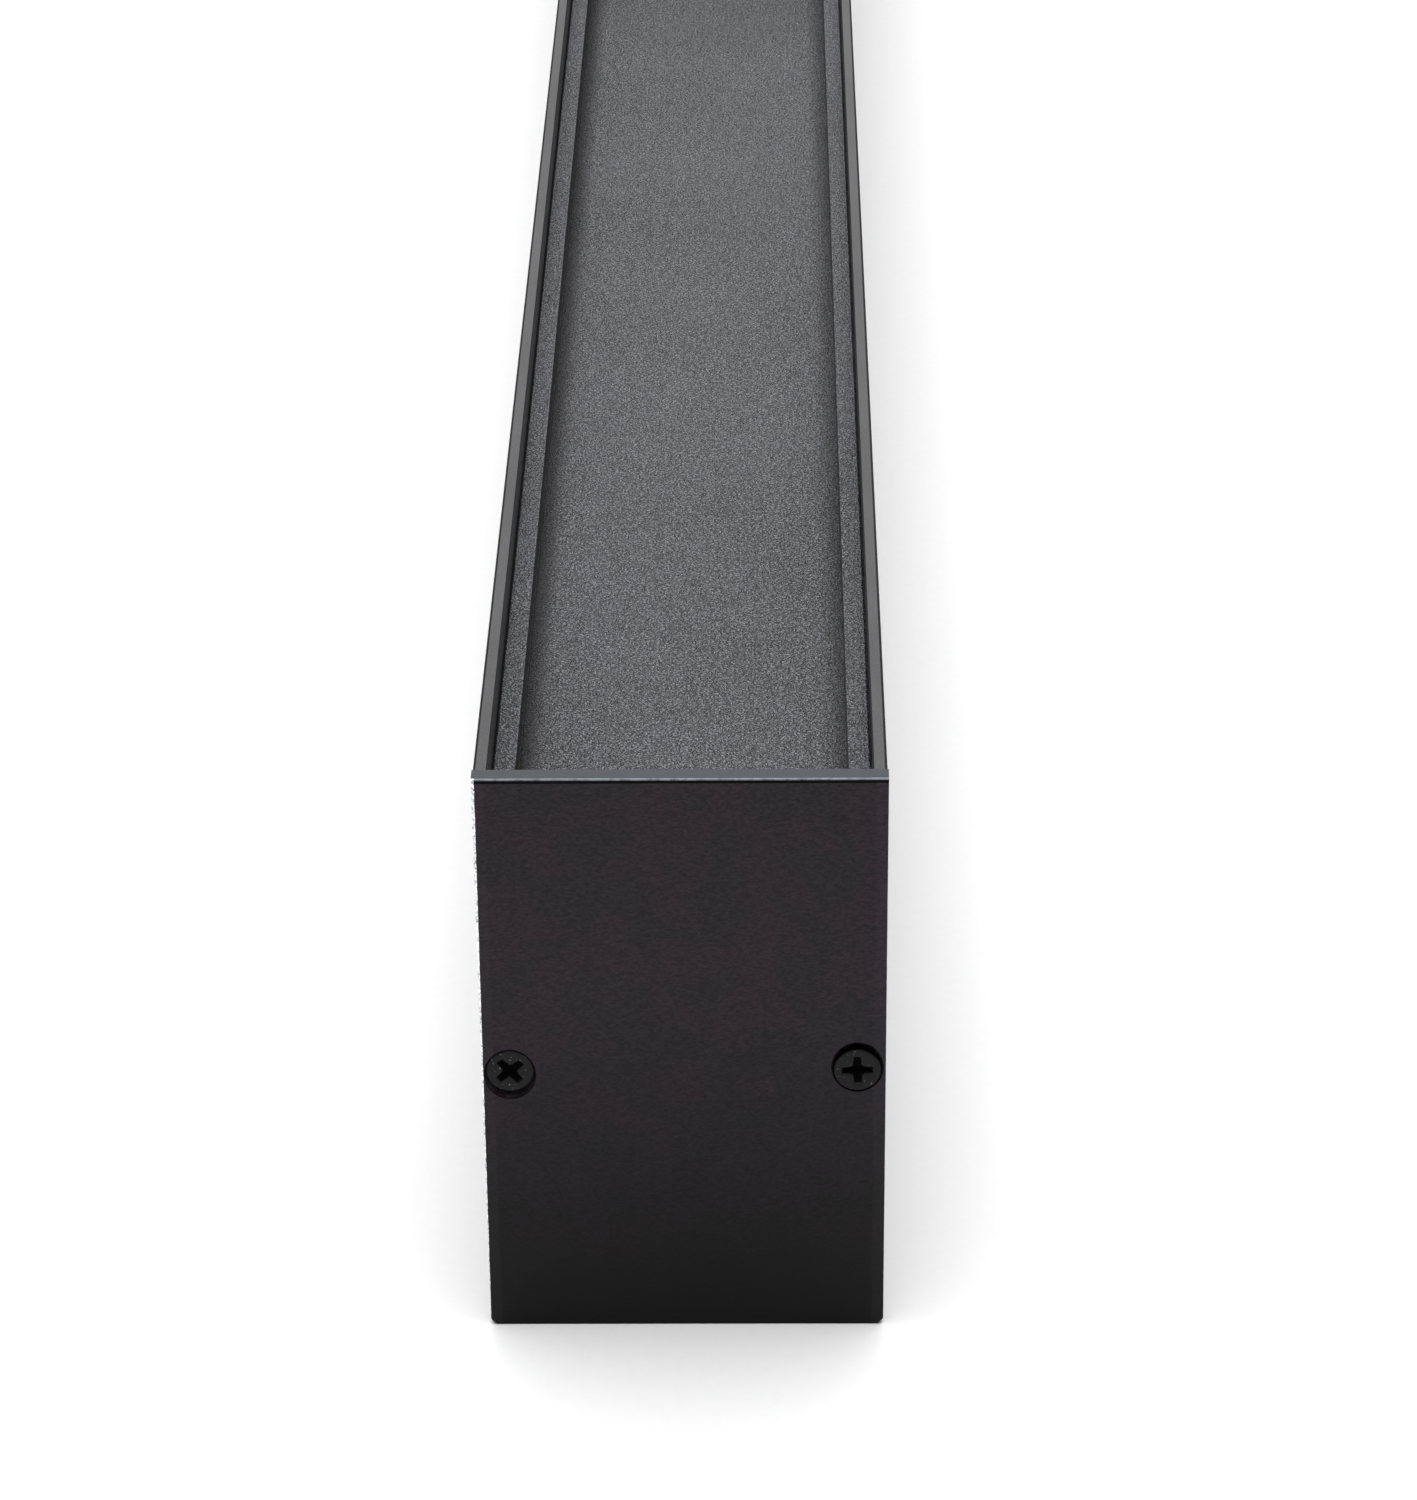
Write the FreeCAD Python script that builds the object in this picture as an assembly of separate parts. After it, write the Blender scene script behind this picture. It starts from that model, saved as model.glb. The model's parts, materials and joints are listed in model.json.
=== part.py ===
import FreeCAD
import Part

import math
import os

# Linear vanity light bar: a black aluminium housing of H section with a mounting channel along its back.
#
# Frame: X along the bar, Y across it, +Z towards the mounting side.  The bar stands on its light side, so
# z = 0 is the plane of the housing's lower edges and z = HEIGHT is the plane that meets the wall.
# All sizes are in millimetres.

V = FreeCAD.Vector

# ---- overall sizes
LENGTH = 900.0             # over both end caps
WIDTH = 50.0               # over the housing's side walls
HEIGHT = 80.0

# ---- housing extrusion
WALL = 1.6
WEB = 2.0                  # cross web that carries the light engine and the driver
WEB_MIDDLE = 38.5          # height of the web's middle plane and of the screw ports
TIP_ROUND = 0.35           # outer edge of each wall tip
TIP_BREAK = 0.05           # inner edge of each wall tip
FOOT_BREAK = 0.6           # outer edge at the light side

# ---- end caps and their screws
CAP_THICKNESS = 2.5
CAP_PROUD = 0.12           # the cap stands this far outside each side wall
CAP_EDGE_BREAK = 0.3
CAP_CORNER = 0.8           # chamfer of the cap's two lower corners
PORT_INSET = 3.4           # screw axis, inwards from the outer face
PORT_WALL = 1.4
PORT_SLIT = 0.9
THREAD_ROOT = 1.25         # self-tapping 3 mm screws are drawn at their thread's root radius
SCREW_HOLE = 1.6           # radius of a clearance hole for a 3 mm screw
SINK_HEAD = 2.95           # radius of the countersunk head
SINK_HOLE = 3.25           # radius of the countersink's mouth
SINK_LAND = 0.25           # height of the head's straight edge
CAP_SCREW_LENGTH = 16.0
RECESS_WIDTH = 0.9
RECESS_SPAN = 3.5
RECESS_DEPTH = 1.3

# ---- back tray, which slides into grooves in the side walls
RIM_DEPTH = 5.5            # wall tips down to the top of the tray's rims
FLOOR_DEPTH = 11.5         # wall tips down to the tray's floor
TRAY_FLOOR = 1.8
SIDE_GAP = 0.3             # slot between a rim and the side wall
RIM_WIDTH = 2.6
RIM_WALL = 1.8
TONGUE_DROP = 1.5          # rim top down to the tongue
TONGUE = 1.0
TONGUE_BITE = 0.5          # how far the tongue enters the side wall
TONGUE_CLEARANCE = 0.1
UNDERCUT = 0.7             # depth of the catch for the mounting clips
UNDERCUT_HEIGHT = 1.8
UNDERCUT_LIFT = 0.8        # tray floor up to the catch
RIM_BREAK = 0.1

# ---- mounting clips
CLIP_SPACING = 250.0
CLIP_LENGTH = 20.0
CLIP_STRIP = 0.8
CLIP_BASE = 26.0           # width of the flat that meets the wall
CLIP_CLEARANCE = 0.15      # between a clip and the tray
CLIP_HOLE = 2.25
CLIP_TOE = 1.0             # how far the hook's toe turns back past the rim

# ---- cable entry in the tray
ENTRY_HOLE = 6.5
GROMMET_BORE = 3.6         # for a 7 mm cable
GROMMET_LIP = 2.2          # lip beyond the hole
GROMMET_LIP_THICKNESS = 1.2

# ---- opal diffuser
DIFFUSER = 1.5
DIFFUSER_INSET = 0.3       # behind the plane of the housing's lower edges
DIFFUSER_LEG = 1.2
DIFFUSER_LEG_HEIGHT = 6.5
DIFFUSER_CLEARANCE = 0.1
SNAP_BITE = 0.5
SNAP_HEIGHT = 1.2
SNAP_TOP = 1.0             # leg's end down to the snap bead

# ---- light engine
BOARD_COUNT = 4
BOARD_GAP = 12.0
BOARD_END_SPACE = 5.5      # cap to the first board
BOARD_WIDTH = 20.0
BOARD_THICKNESS = 1.6
CHIP_SIZE = 3.0
CHIP_HEIGHT = 0.8
CHIP_PITCH = 11.8
BOARD_SCREW_INSET = 26.0   # board's end to its screw
BOARD_SCREW_OFFSET = 7.0   # board's centre line to its screw
CONNECTOR_WIDTH = 6.0
CONNECTOR_HEIGHT = 2.6
CONNECTOR_LAP = 4.0
REFLECTOR = 0.5
REFLECTOR_TOP = 27.0       # width of the flat against the boards
REFLECTOR_MOUTH = 45.0
REFLECTOR_LIFT = 0.7       # diffuser's legs up to the reflector's edge
WINDOW_MARGIN = 0.75

# ---- pan-head screws
PAN_HEAD = 2.75
PAN_HEIGHT = 1.6
SCREW_END_SPACE = 0.2      # from a screw's end to the far face of the web

# ---- driver
DRIVER_LENGTH = 120.0
DRIVER_WIDTH = 30.0
DRIVER_HEIGHT = 20.0
DRIVER_WALL = 1.5
DRIVER_EAR = 8.0
EAR_THICKNESS = 2.0
DRIVER_FROM_LEADS = 19.0   # lead hole to the driver's output end
COVER_LIP = 3.0
FIT = 0.15                 # clearance of the driver's inner fits
DRIVER_BOARD_LIFT = 3.0
DRIVER_BOARD_THICKNESS = 1.2
CORE = (18.0, 18.0, 12.0)
CORE_WINDOW = 4.0
CORE_LEG = 5.0
CAPACITOR_RADIUS = 4.0
CAPACITOR_HEIGHT = 11.0
SINK_PLATE = (24.0, 1.5, 11.0)
FIN_COUNT = 5
FIN = (1.2, 4.0)

# ---- terminal block and wiring
TERMINAL_FROM_DRIVER = 42.0
TERMINAL_WAYS = 3
TERMINAL_PITCH = 8.0
TERMINAL_DEPTH = 16.0
TERMINAL_HEIGHT = 13.0
TERMINAL_EAR = 6.0
INSERT_RADIUS = 2.6
INSERT_BORE = 1.5
WIRE_HEIGHT = 7.0          # wire axis above the web
TERMINAL_SCREW_RADIUS = 1.6
MAINS_WIRE = 1.3
LEAD_WIRE = 0.8
LEAD_SPACING = 2.4
LEAD_BEND = 7.0
LEAD_HOLE = 4.0
LEAD_GROMMET_BORE = 2.2
LEAD_GROMMET_LIP = 1.2
LEAD_GROMMET_LIP_THICKNESS = 1.0
TAG_FROM_TERMINAL = 22.0   # block's driver side to the earth screw
EARTH_TURN = 3.0           # straight wire before its first bend and after its last
EARTH_BEND = 2.6
TAG_Y = -14.5
TAG_RADIUS = 4.0
TAG_THICKNESS = 0.8
EARTH_ROOT = 1.65          # root radius of a 4 mm screw
EARTH_HEAD = 3.6
EARTH_HEAD_HEIGHT = 2.4

# ---- places worked out from the sizes above
HALF = WIDTH / 2
INNER = HALF - WALL                              # a side wall's inner face
HOUSING_END = LENGTH / 2 - CAP_THICKNESS
WEB_TOP = WEB_MIDDLE + WEB / 2
WEB_UNDER = WEB_MIDDLE - WEB / 2
PORT_Y = HALF - PORT_INSET
RIM_TOP = HEIGHT - RIM_DEPTH
TRAY_TOP = HEIGHT - FLOOR_DEPTH                  # the tray's floor, seen from the mounting side
RIM_OUTER = INNER - SIDE_GAP
RIM_INNER = RIM_OUTER - RIM_WIDTH
TONGUE_TOP = RIM_TOP - TONGUE_DROP
TONGUE_END = INNER + TONGUE_BITE
SNAP_Z = DIFFUSER_INSET + DIFFUSER + DIFFUSER_LEG_HEIGHT - SNAP_TOP
BOARD_UNDER = WEB_UNDER - BOARD_THICKNESS
REFLECTOR_UNDER = BOARD_UNDER - REFLECTOR
BOARD_LENGTH = (2 * (HOUSING_END - BOARD_END_SPACE) - (BOARD_COUNT - 1) * BOARD_GAP) / BOARD_COUNT
BOARD_STEP = BOARD_LENGTH + BOARD_GAP
BOARD_X = [(i - (BOARD_COUNT - 1) / 2) * BOARD_STEP for i in range(BOARD_COUNT)]
GAP_X = [x + BOARD_STEP / 2 for x in BOARD_X[:-1]]
LEAD_X = GAP_X[0]
DRIVER_END = LEAD_X + DRIVER_FROM_LEADS          # output end
DRIVER_START = DRIVER_END + DRIVER_LENGTH        # supply end
TERMINAL_X = DRIVER_START + TERMINAL_FROM_DRIVER + TERMINAL_DEPTH / 2
TERMINAL_Y = [(i - (TERMINAL_WAYS - 1) / 2) * TERMINAL_PITCH for i in range(TERMINAL_WAYS)]
TERMINAL_HALF = TERMINAL_WAYS * TERMINAL_PITCH / 2
TAG_X = TERMINAL_X - TERMINAL_DEPTH / 2 - TAG_FROM_TERMINAL
WIRE_Z = WEB_TOP + WIRE_HEIGHT
DRIVER_BOARD_TOP = WEB_TOP + DRIVER_WALL + DRIVER_BOARD_LIFT + DRIVER_BOARD_THICKNESS


# ---- small helpers

def box(x0, x1, y0, y1, z0, z1):
    return Part.makeBox(x1 - x0, y1 - y0, z1 - z0, V(x0, y0, z0))


def rod(x, y, z0, z1, radius):
    return Part.makeCylinder(radius, z1 - z0, V(x, y, z0))


def rod_x(x0, x1, y, z, radius):
    return Part.makeCylinder(radius, x1 - x0, V(x0, y, z), V(1, 0, 0))


def join(shapes):
    return shapes[0].multiFuse(shapes[1:]).removeSplitter()


def mirrored(shape):
    return shape.mirror(V(0, 0, 0), V(0, 1, 0))


def prism(outline, x0, x1):
    """A closed outline of (y, z) points, drawn along X."""
    points = [V(x0, y, z) for y, z in outline]
    return Part.Face(Part.makePolygon(points + points[:1])).extrude(V(x1 - x0, 0, 0))


def both_sides(outline, x0, x1):
    """The same for a section whose outline is drawn for its +Y half only."""
    half = prism(outline, x0, x1)
    return join([half, mirrored(half)])


def strip(side, thickness):
    """The outline of a bent strip, from the (y, z) points of one of its sides; the other lies to the right."""
    runs = [(b[0] - a[0], b[1] - a[1]) for a, b in zip(side, side[1:])]
    normals = [(dz / math.hypot(dy, dz), -dy / math.hypot(dy, dz)) for dy, dz in runs]
    other = []
    for (y, z), n, m in zip(side, normals[:1] + normals, normals + normals[-1:]):
        mitre = thickness / (1 + n[0] * m[0] + n[1] * m[1])
        other.append((y + mitre * (n[0] + m[0]), z + mitre * (n[1] + m[1])))
    return side + other[::-1]


def circle_edges(shape, radius, z):
    return [e for e in shape.Edges
            if isinstance(e.Curve, Part.Circle) and abs(e.Curve.Radius - radius) < 1e-6
            and abs(e.Curve.Center.z - z) < 1e-6]


def long_edges(shape, y, z):
    """The edges that run along X at height z, on both sides of the bar."""
    return [
        e for e in shape.Edges
        if len(e.Vertexes) == 2 and all(math.hypot(abs(v.Y) - y, v.Z - z) < 1e-4 for v in e.Vertexes)
        and abs(e.Vertexes[0].X - e.Vertexes[1].X) > 1
    ]


def bent_wire(points, bend, radius):
    """A round wire along straight runs, joined by tangent arcs of one bend radius."""
    points = [V(*p) for p in points]
    edges = []
    start = points[0]
    for before, corner, after in zip(points, points[1:], points[2:]):
        into = (corner - before).normalize()
        out = (after - corner).normalize()
        half_turn = into.getAngle(out) / 2
        set_back = bend * math.tan(half_turn)
        first = corner - into * set_back
        last = corner + out * set_back
        middle = corner + (out - into).normalize() * (bend / math.cos(half_turn) - bend)
        edges += [Part.LineSegment(start, first).toShape(), Part.Arc(first, middle, last).toShape()]
        start = last
    edges.append(Part.LineSegment(start, points[-1]).toShape())
    path = Part.Wire(edges)
    section = Part.Wire(Part.Circle(points[0], points[1] - points[0], radius).toShape())
    wire = path.makePipeShell([section], True, False)
    expected = math.pi * radius ** 2 * path.Length
    print(f"wire {path.Length:.1f} long, volume {wire.Volume:.1f}, section times length {expected:.1f}")
    return wire


def pan_screw(x, y, seat, end, head=PAN_HEAD, head_height=PAN_HEIGHT, root=THREAD_ROOT):
    """A pan-head screw: its head stands on seat and its shank runs to end, up or down."""
    way = 1 if end > seat else -1
    head_end = seat - way * head_height
    top = rod(x, y, min(seat, head_end), max(seat, head_end), head)
    top = top.makeFillet(head_height * 0.45, circle_edges(top, head, head_end))
    screw = join([top, rod(x, y, min(seat, end), max(seat, end), root)])
    z0, z1 = sorted((head_end + way * head_height / 2, head_end - way))
    for sx, sy in ((head, RECESS_WIDTH), (RECESS_WIDTH, head)):
        screw = screw.cut(box(x - sx / 2, x + sx / 2, y - sy / 2, y + sy / 2, z0, z1))
    return screw


# ---- housing, tray and covers

def housing():
    outline = [
        (0, WEB_UNDER), (INNER, WEB_UNDER),
        (INNER, SNAP_Z + DIFFUSER_CLEARANCE),
        (INNER + SNAP_BITE, SNAP_Z + DIFFUSER_CLEARANCE),
        (INNER + SNAP_BITE, SNAP_Z - SNAP_HEIGHT - DIFFUSER_CLEARANCE),
        (INNER, SNAP_Z - SNAP_HEIGHT - DIFFUSER_CLEARANCE),
        (INNER, 0), (HALF, 0), (HALF, HEIGHT), (INNER, HEIGHT),
        (INNER, TONGUE_TOP + TONGUE_CLEARANCE), (TONGUE_END + TONGUE_CLEARANCE, TONGUE_TOP + TONGUE_CLEARANCE),
        (TONGUE_END + TONGUE_CLEARANCE, TONGUE_TOP - TONGUE), (INNER, TONGUE_TOP - TONGUE),
        (INNER, WEB_TOP), (0, WEB_TOP),
    ]
    body = both_sides(outline, -HOUSING_END, HOUSING_END)
    ports = [rod_x(-HOUSING_END, HOUSING_END, side * PORT_Y, WEB_MIDDLE, THREAD_ROOT + PORT_WALL)
             for side in (-1, 1)]
    body = join([body] + ports)
    for side in (-1, 1):
        y = side * PORT_Y
        body = body.cut(rod_x(-HOUSING_END, HOUSING_END, y, WEB_MIDDLE, THREAD_ROOT))
        body = body.cut(box(-HOUSING_END, HOUSING_END, y - PORT_SLIT / 2, y + PORT_SLIT / 2,
                            WEB_MIDDLE, WEB_MIDDLE + THREAD_ROOT + PORT_WALL + 1))
    body = body.makeFillet(TIP_ROUND, long_edges(body, HALF, HEIGHT))
    body = body.makeChamfer(TIP_BREAK, long_edges(body, INNER, HEIGHT))
    body = body.makeChamfer(FOOT_BREAK, long_edges(body, HALF, 0))
    holes = [rod(x, y, WEB_UNDER, WEB_TOP, THREAD_ROOT) for x, y in web_screw_places()]
    holes.append(rod(TAG_X, TAG_Y, WEB_UNDER, WEB_TOP, EARTH_ROOT))
    holes.append(rod(LEAD_X, 0, WEB_UNDER, WEB_TOP, LEAD_HOLE))
    return body.cut(holes)


def back_tray():
    catch = TRAY_TOP + UNDERCUT_LIFT
    outline = [
        (0, TRAY_TOP - TRAY_FLOOR), (RIM_INNER + RIM_WALL, TRAY_TOP - TRAY_FLOOR),
        (RIM_INNER + RIM_WALL, TONGUE_TOP - TONGUE), (TONGUE_END, TONGUE_TOP - TONGUE),
        (TONGUE_END, TONGUE_TOP), (RIM_OUTER, TONGUE_TOP), (RIM_OUTER, RIM_TOP), (RIM_INNER, RIM_TOP),
        (RIM_INNER, catch + UNDERCUT_HEIGHT), (RIM_INNER + UNDERCUT, catch + UNDERCUT_HEIGHT),
        (RIM_INNER + UNDERCUT, catch), (RIM_INNER, catch),
        (RIM_INNER, TRAY_TOP), (0, TRAY_TOP),
    ]
    tray = both_sides(outline, -HOUSING_END, HOUSING_END)
    edges = long_edges(tray, RIM_INNER, RIM_TOP) + long_edges(tray, RIM_OUTER, RIM_TOP)
    tray = tray.makeFillet(RIM_BREAK, edges)
    return tray.cut(rod(0, 0, TRAY_TOP - TRAY_FLOOR, TRAY_TOP, ENTRY_HOLE))


def diffuser():
    outer = INNER - DIFFUSER_CLEARANCE
    inner = outer - DIFFUSER_LEG
    top = DIFFUSER_INSET + DIFFUSER + DIFFUSER_LEG_HEIGHT
    outline = [
        (0, DIFFUSER_INSET), (outer, DIFFUSER_INSET),
        (outer, SNAP_Z - SNAP_HEIGHT), (outer + SNAP_BITE, SNAP_Z), (outer, SNAP_Z), (outer, top),
        (inner, top), (inner, DIFFUSER_INSET + DIFFUSER), (0, DIFFUSER_INSET + DIFFUSER),
    ]
    return both_sides(outline, -HOUSING_END, HOUSING_END)


def end_cap(side):
    """One end plate, side +1 or -1 along X, with two countersunk holes."""
    y = HALF + CAP_PROUD
    outline = [(0, 0), (y - CAP_CORNER, 0), (y, CAP_CORNER), (y, HEIGHT), (0, HEIGHT)]
    plate = both_sides(outline, HOUSING_END, HOUSING_END + CAP_THICKNESS)
    face = LENGTH / 2
    outer_edges = [e for e in plate.Edges if all(abs(v.X - face) < 1e-6 for v in e.Vertexes)]
    plate = plate.makeChamfer(CAP_EDGE_BREAK, outer_edges)
    for hole_side in (-1, 1):
        y = hole_side * PORT_Y
        sink = Part.makeCone(SINK_HOLE, SCREW_HOLE, SINK_HOLE - SCREW_HOLE,
                             V(face, y, WEB_MIDDLE), V(-1, 0, 0))
        plate = plate.cut([sink, rod_x(HOUSING_END, face, y, WEB_MIDDLE, SCREW_HOLE)])
    return plate if side > 0 else plate.mirror(V(0, 0, 0), V(1, 0, 0))


def cap_screw(y):
    """A countersunk screw at the +X end, its head seated in the cap's countersink."""
    # the head's cone touches the countersink along its whole height
    face = LENGTH / 2 - (SINK_HOLE - SINK_HEAD) + SINK_LAND
    cone_start = face - SINK_LAND
    land = rod_x(cone_start, face, y, WEB_MIDDLE, SINK_HEAD)
    cone = Part.makeCone(SINK_HEAD, THREAD_ROOT, SINK_HEAD - THREAD_ROOT,
                         V(cone_start, y, WEB_MIDDLE), V(-1, 0, 0))
    shank = rod_x(LENGTH / 2 - CAP_SCREW_LENGTH, cone_start, y, WEB_MIDDLE, THREAD_ROOT)
    screw = join([land, cone, shank])
    for sy, sz in ((RECESS_SPAN, RECESS_WIDTH), (RECESS_WIDTH, RECESS_SPAN)):
        screw = screw.cut(box(face - RECESS_DEPTH, face + 1, y - sy / 2, y + sy / 2,
                              WEB_MIDDLE - sz / 2, WEB_MIDDLE + sz / 2))
    return screw


def end_cap_screws():
    near = [cap_screw(side * PORT_Y) for side in (-1, 1)]
    far = [s.mirror(V(0, 0, 0), V(1, 0, 0)) for s in near]
    return Part.makeCompound(near + far)


def grommet(x, z0, z1, hole, bore, lip, lip_thickness):
    """A rubber grommet in a plate from z0 to z1."""
    top = z1 + lip_thickness
    foot = z0 - lip_thickness
    body = join([rod(x, 0, z0, z1, hole), rod(x, 0, z1, top, hole + lip), rod(x, 0, foot, z0, hole + lip)])
    rims = circle_edges(body, hole + lip, top) + circle_edges(body, hole + lip, foot)
    body = body.makeFillet(lip_thickness * 0.5, rims)
    return body.cut(rod(x, 0, foot, top, bore))


# ---- mounting clips

def mount_clip(x):
    """A sprung strip: its flat meets the wall and its two legs hook under the tray's rims."""
    catch = TRAY_TOP + UNDERCUT_LIFT
    side = [(0, HEIGHT), (CLIP_BASE / 2, HEIGHT),
            (RIM_INNER - 2 * CLIP_CLEARANCE, catch + UNDERCUT_HEIGHT),
            (RIM_INNER + UNDERCUT - CLIP_CLEARANCE, catch + UNDERCUT_HEIGHT / 2),
            (RIM_INNER - CLIP_TOE, TRAY_TOP + 2 * CLIP_CLEARANCE)]
    clip = both_sides(strip(side, CLIP_STRIP), x - CLIP_LENGTH / 2, x + CLIP_LENGTH / 2)
    return clip.cut(rod(x, 0, HEIGHT - CLIP_STRIP, HEIGHT, CLIP_HOLE))


# ---- light engine

def board_screw_places():
    reach = BOARD_LENGTH / 2 - BOARD_SCREW_INSET
    return [(x + side * reach, side * BOARD_SCREW_OFFSET) for x in BOARD_X for side in (-1, 1)]


def led_board(x):
    board = box(x - BOARD_LENGTH / 2, x + BOARD_LENGTH / 2, -BOARD_WIDTH / 2, BOARD_WIDTH / 2,
                BOARD_UNDER, WEB_UNDER)
    return board.cut([rod(hx, hy, BOARD_UNDER, WEB_UNDER, SCREW_HOLE) for hx, hy in board_screw_places()])


def led_chips(x):
    room = BOARD_LENGTH - 2 * CONNECTOR_LAP - 2 * CHIP_SIZE
    count = int(room / CHIP_PITCH) + 1
    places = [x + (i - (count - 1) / 2) * CHIP_PITCH for i in range(count)]
    half = CHIP_SIZE / 2
    return Part.makeCompound([
        box(px - half, px + half, -half, half, BOARD_UNDER - CHIP_HEIGHT, BOARD_UNDER) for px in places
    ])


def board_screws():
    return Part.makeCompound([
        pan_screw(x, y, REFLECTOR_UNDER, WEB_TOP - SCREW_END_SPACE) for x, y in board_screw_places()
    ])


def board_connectors():
    """One two-pole link across each gap between boards; the first also takes the driver's leads."""
    reach = BOARD_GAP / 2 + CONNECTOR_LAP
    half = CONNECTOR_WIDTH / 2
    return Part.makeCompound([
        box(x - reach, x + reach, -half, half, BOARD_UNDER - CONNECTOR_HEIGHT, BOARD_UNDER) for x in GAP_X
    ])


def reflector():
    top = REFLECTOR_TOP / 2
    mouth = REFLECTOR_MOUTH / 2
    low = DIFFUSER_INSET + DIFFUSER + DIFFUSER_LEG_HEIGHT + REFLECTOR_LIFT
    outline = [(0, BOARD_UNDER), (top, BOARD_UNDER), (mouth, low), (mouth - REFLECTOR, low),
               (top - REFLECTOR, REFLECTOR_UNDER), (0, REFLECTOR_UNDER)]
    sheet = both_sides(outline, -HOUSING_END, HOUSING_END)
    cuts = [rod(x, y, REFLECTOR_UNDER, BOARD_UNDER, SCREW_HOLE) for x, y in board_screw_places()]
    window = CHIP_SIZE / 2 + WINDOW_MARGIN
    reach = BOARD_LENGTH / 2 - 2 * CONNECTOR_LAP
    cuts += [box(x - reach, x + reach, -window, window, REFLECTOR_UNDER, BOARD_UNDER) for x in BOARD_X]
    window = CONNECTOR_WIDTH / 2 + WINDOW_MARGIN
    reach = BOARD_GAP / 2 + CONNECTOR_LAP + WINDOW_MARGIN
    cuts += [box(x - reach, x + reach, -window, window, REFLECTOR_UNDER, BOARD_UNDER) for x in GAP_X]
    return sheet.cut(cuts)


# ---- driver

def driver_screw_places():
    return [(DRIVER_END - DRIVER_EAR / 2, 0.0), (DRIVER_START + DRIVER_EAR / 2, 0.0)]


def driver_case():
    half = DRIVER_WIDTH / 2
    top = WEB_TOP + DRIVER_HEIGHT - DRIVER_WALL
    shell = box(DRIVER_END, DRIVER_START, -half, half, WEB_TOP, top)
    room = box(DRIVER_END + DRIVER_WALL, DRIVER_START - DRIVER_WALL, -half + DRIVER_WALL, half - DRIVER_WALL,
               WEB_TOP + DRIVER_WALL, top)
    shell = shell.cut(room)
    ears = [box(x, x + DRIVER_EAR, -half / 2, half / 2, WEB_TOP, WEB_TOP + EAR_THICKNESS)
            for x in (DRIVER_END - DRIVER_EAR, DRIVER_START)]
    posts = [rod(x, y, WEB_TOP + DRIVER_WALL, WEB_TOP + DRIVER_WALL + DRIVER_BOARD_LIFT, 2.5)
             for x in (DRIVER_END + 8, DRIVER_START - 8) for y in (-8, 8)]
    case = join([shell] + ears + posts)
    cuts = [rod(x, y, WEB_TOP, WEB_TOP + EAR_THICKNESS, SCREW_HOLE) for x, y in driver_screw_places()]
    cuts += [rod_x(DRIVER_START - DRIVER_WALL, DRIVER_START, y, WIRE_Z, MAINS_WIRE + FIT)
             for y in TERMINAL_Y[1:]]
    cuts += [rod_x(DRIVER_END, DRIVER_END + DRIVER_WALL, side * LEAD_SPACING / 2, WIRE_Z, LEAD_WIRE + FIT)
             for side in (-1, 1)]
    return case.cut(cuts)


def driver_cover():
    half = DRIVER_WIDTH / 2
    top = WEB_TOP + DRIVER_HEIGHT
    plate = box(DRIVER_END, DRIVER_START, -half, half, top - DRIVER_WALL, top)
    inset = DRIVER_WALL + FIT
    outer = box(DRIVER_END + inset, DRIVER_START - inset, -half + inset, half - inset,
                top - DRIVER_WALL - COVER_LIP, top - DRIVER_WALL)
    inset += 1.2
    inner = box(DRIVER_END + inset, DRIVER_START - inset, -half + inset, half - inset,
                top - DRIVER_WALL - COVER_LIP, top - DRIVER_WALL)
    return join([plate, outer.cut(inner)])


def driver_board():
    half = DRIVER_WIDTH / 2 - DRIVER_WALL - 3 * FIT
    return box(DRIVER_END + DRIVER_WALL + 1, DRIVER_START - DRIVER_WALL - 1, -half, half,
               DRIVER_BOARD_TOP - DRIVER_BOARD_THICKNESS, DRIVER_BOARD_TOP)


def transformer_x():
    return (DRIVER_END + DRIVER_START) / 2


def transformer_core():
    """Two ferrite halves around the winding, drawn as one block with two windows."""
    length, width, height = CORE
    x = transformer_x()
    block = box(x - length / 2, x + length / 2, -width / 2, width / 2, DRIVER_BOARD_TOP,
                DRIVER_BOARD_TOP + height)
    z = DRIVER_BOARD_TOP + height / 2
    windows = [box(x - length / 2, x + length / 2, side * (CORE_LEG + CORE_WINDOW) / 2 - CORE_WINDOW / 2,
                   side * (CORE_LEG + CORE_WINDOW) / 2 + CORE_WINDOW / 2, z - 4, z + 4)
               for side in (-1, 1)]
    return block.cut(windows)


def transformer_winding():
    length = CORE[0]
    x = transformer_x()
    z = DRIVER_BOARD_TOP + CORE[2] / 2
    bulge = 2.5
    half_leg = CORE_LEG / 2
    outer = box(x - length / 2 - bulge, x + length / 2 + bulge, -half_leg - CORE_WINDOW + FIT,
                half_leg + CORE_WINDOW - FIT, z - 4 + FIT, z + 4 - FIT)
    upright = [e for e in outer.Edges if e.BoundBox.ZLength > 1]
    outer = outer.makeFillet(2.0, upright)
    return outer.cut(box(x - length / 2, x + length / 2, -half_leg, half_leg, z - 4, z + 4))


def driver_capacitors():
    places = [(DRIVER_START - 20, -5.5), (DRIVER_START - 20, 5.5), (DRIVER_END + 22, 0)]
    cans = []
    for x, y in places:
        can = rod(x, y, DRIVER_BOARD_TOP, DRIVER_BOARD_TOP + CAPACITOR_HEIGHT, CAPACITOR_RADIUS)
        cans.append(can.makeFillet(0.6, [e for e in can.Edges if e.BoundBox.ZLength < 1e-6]))
    return Part.makeCompound(cans)


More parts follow.
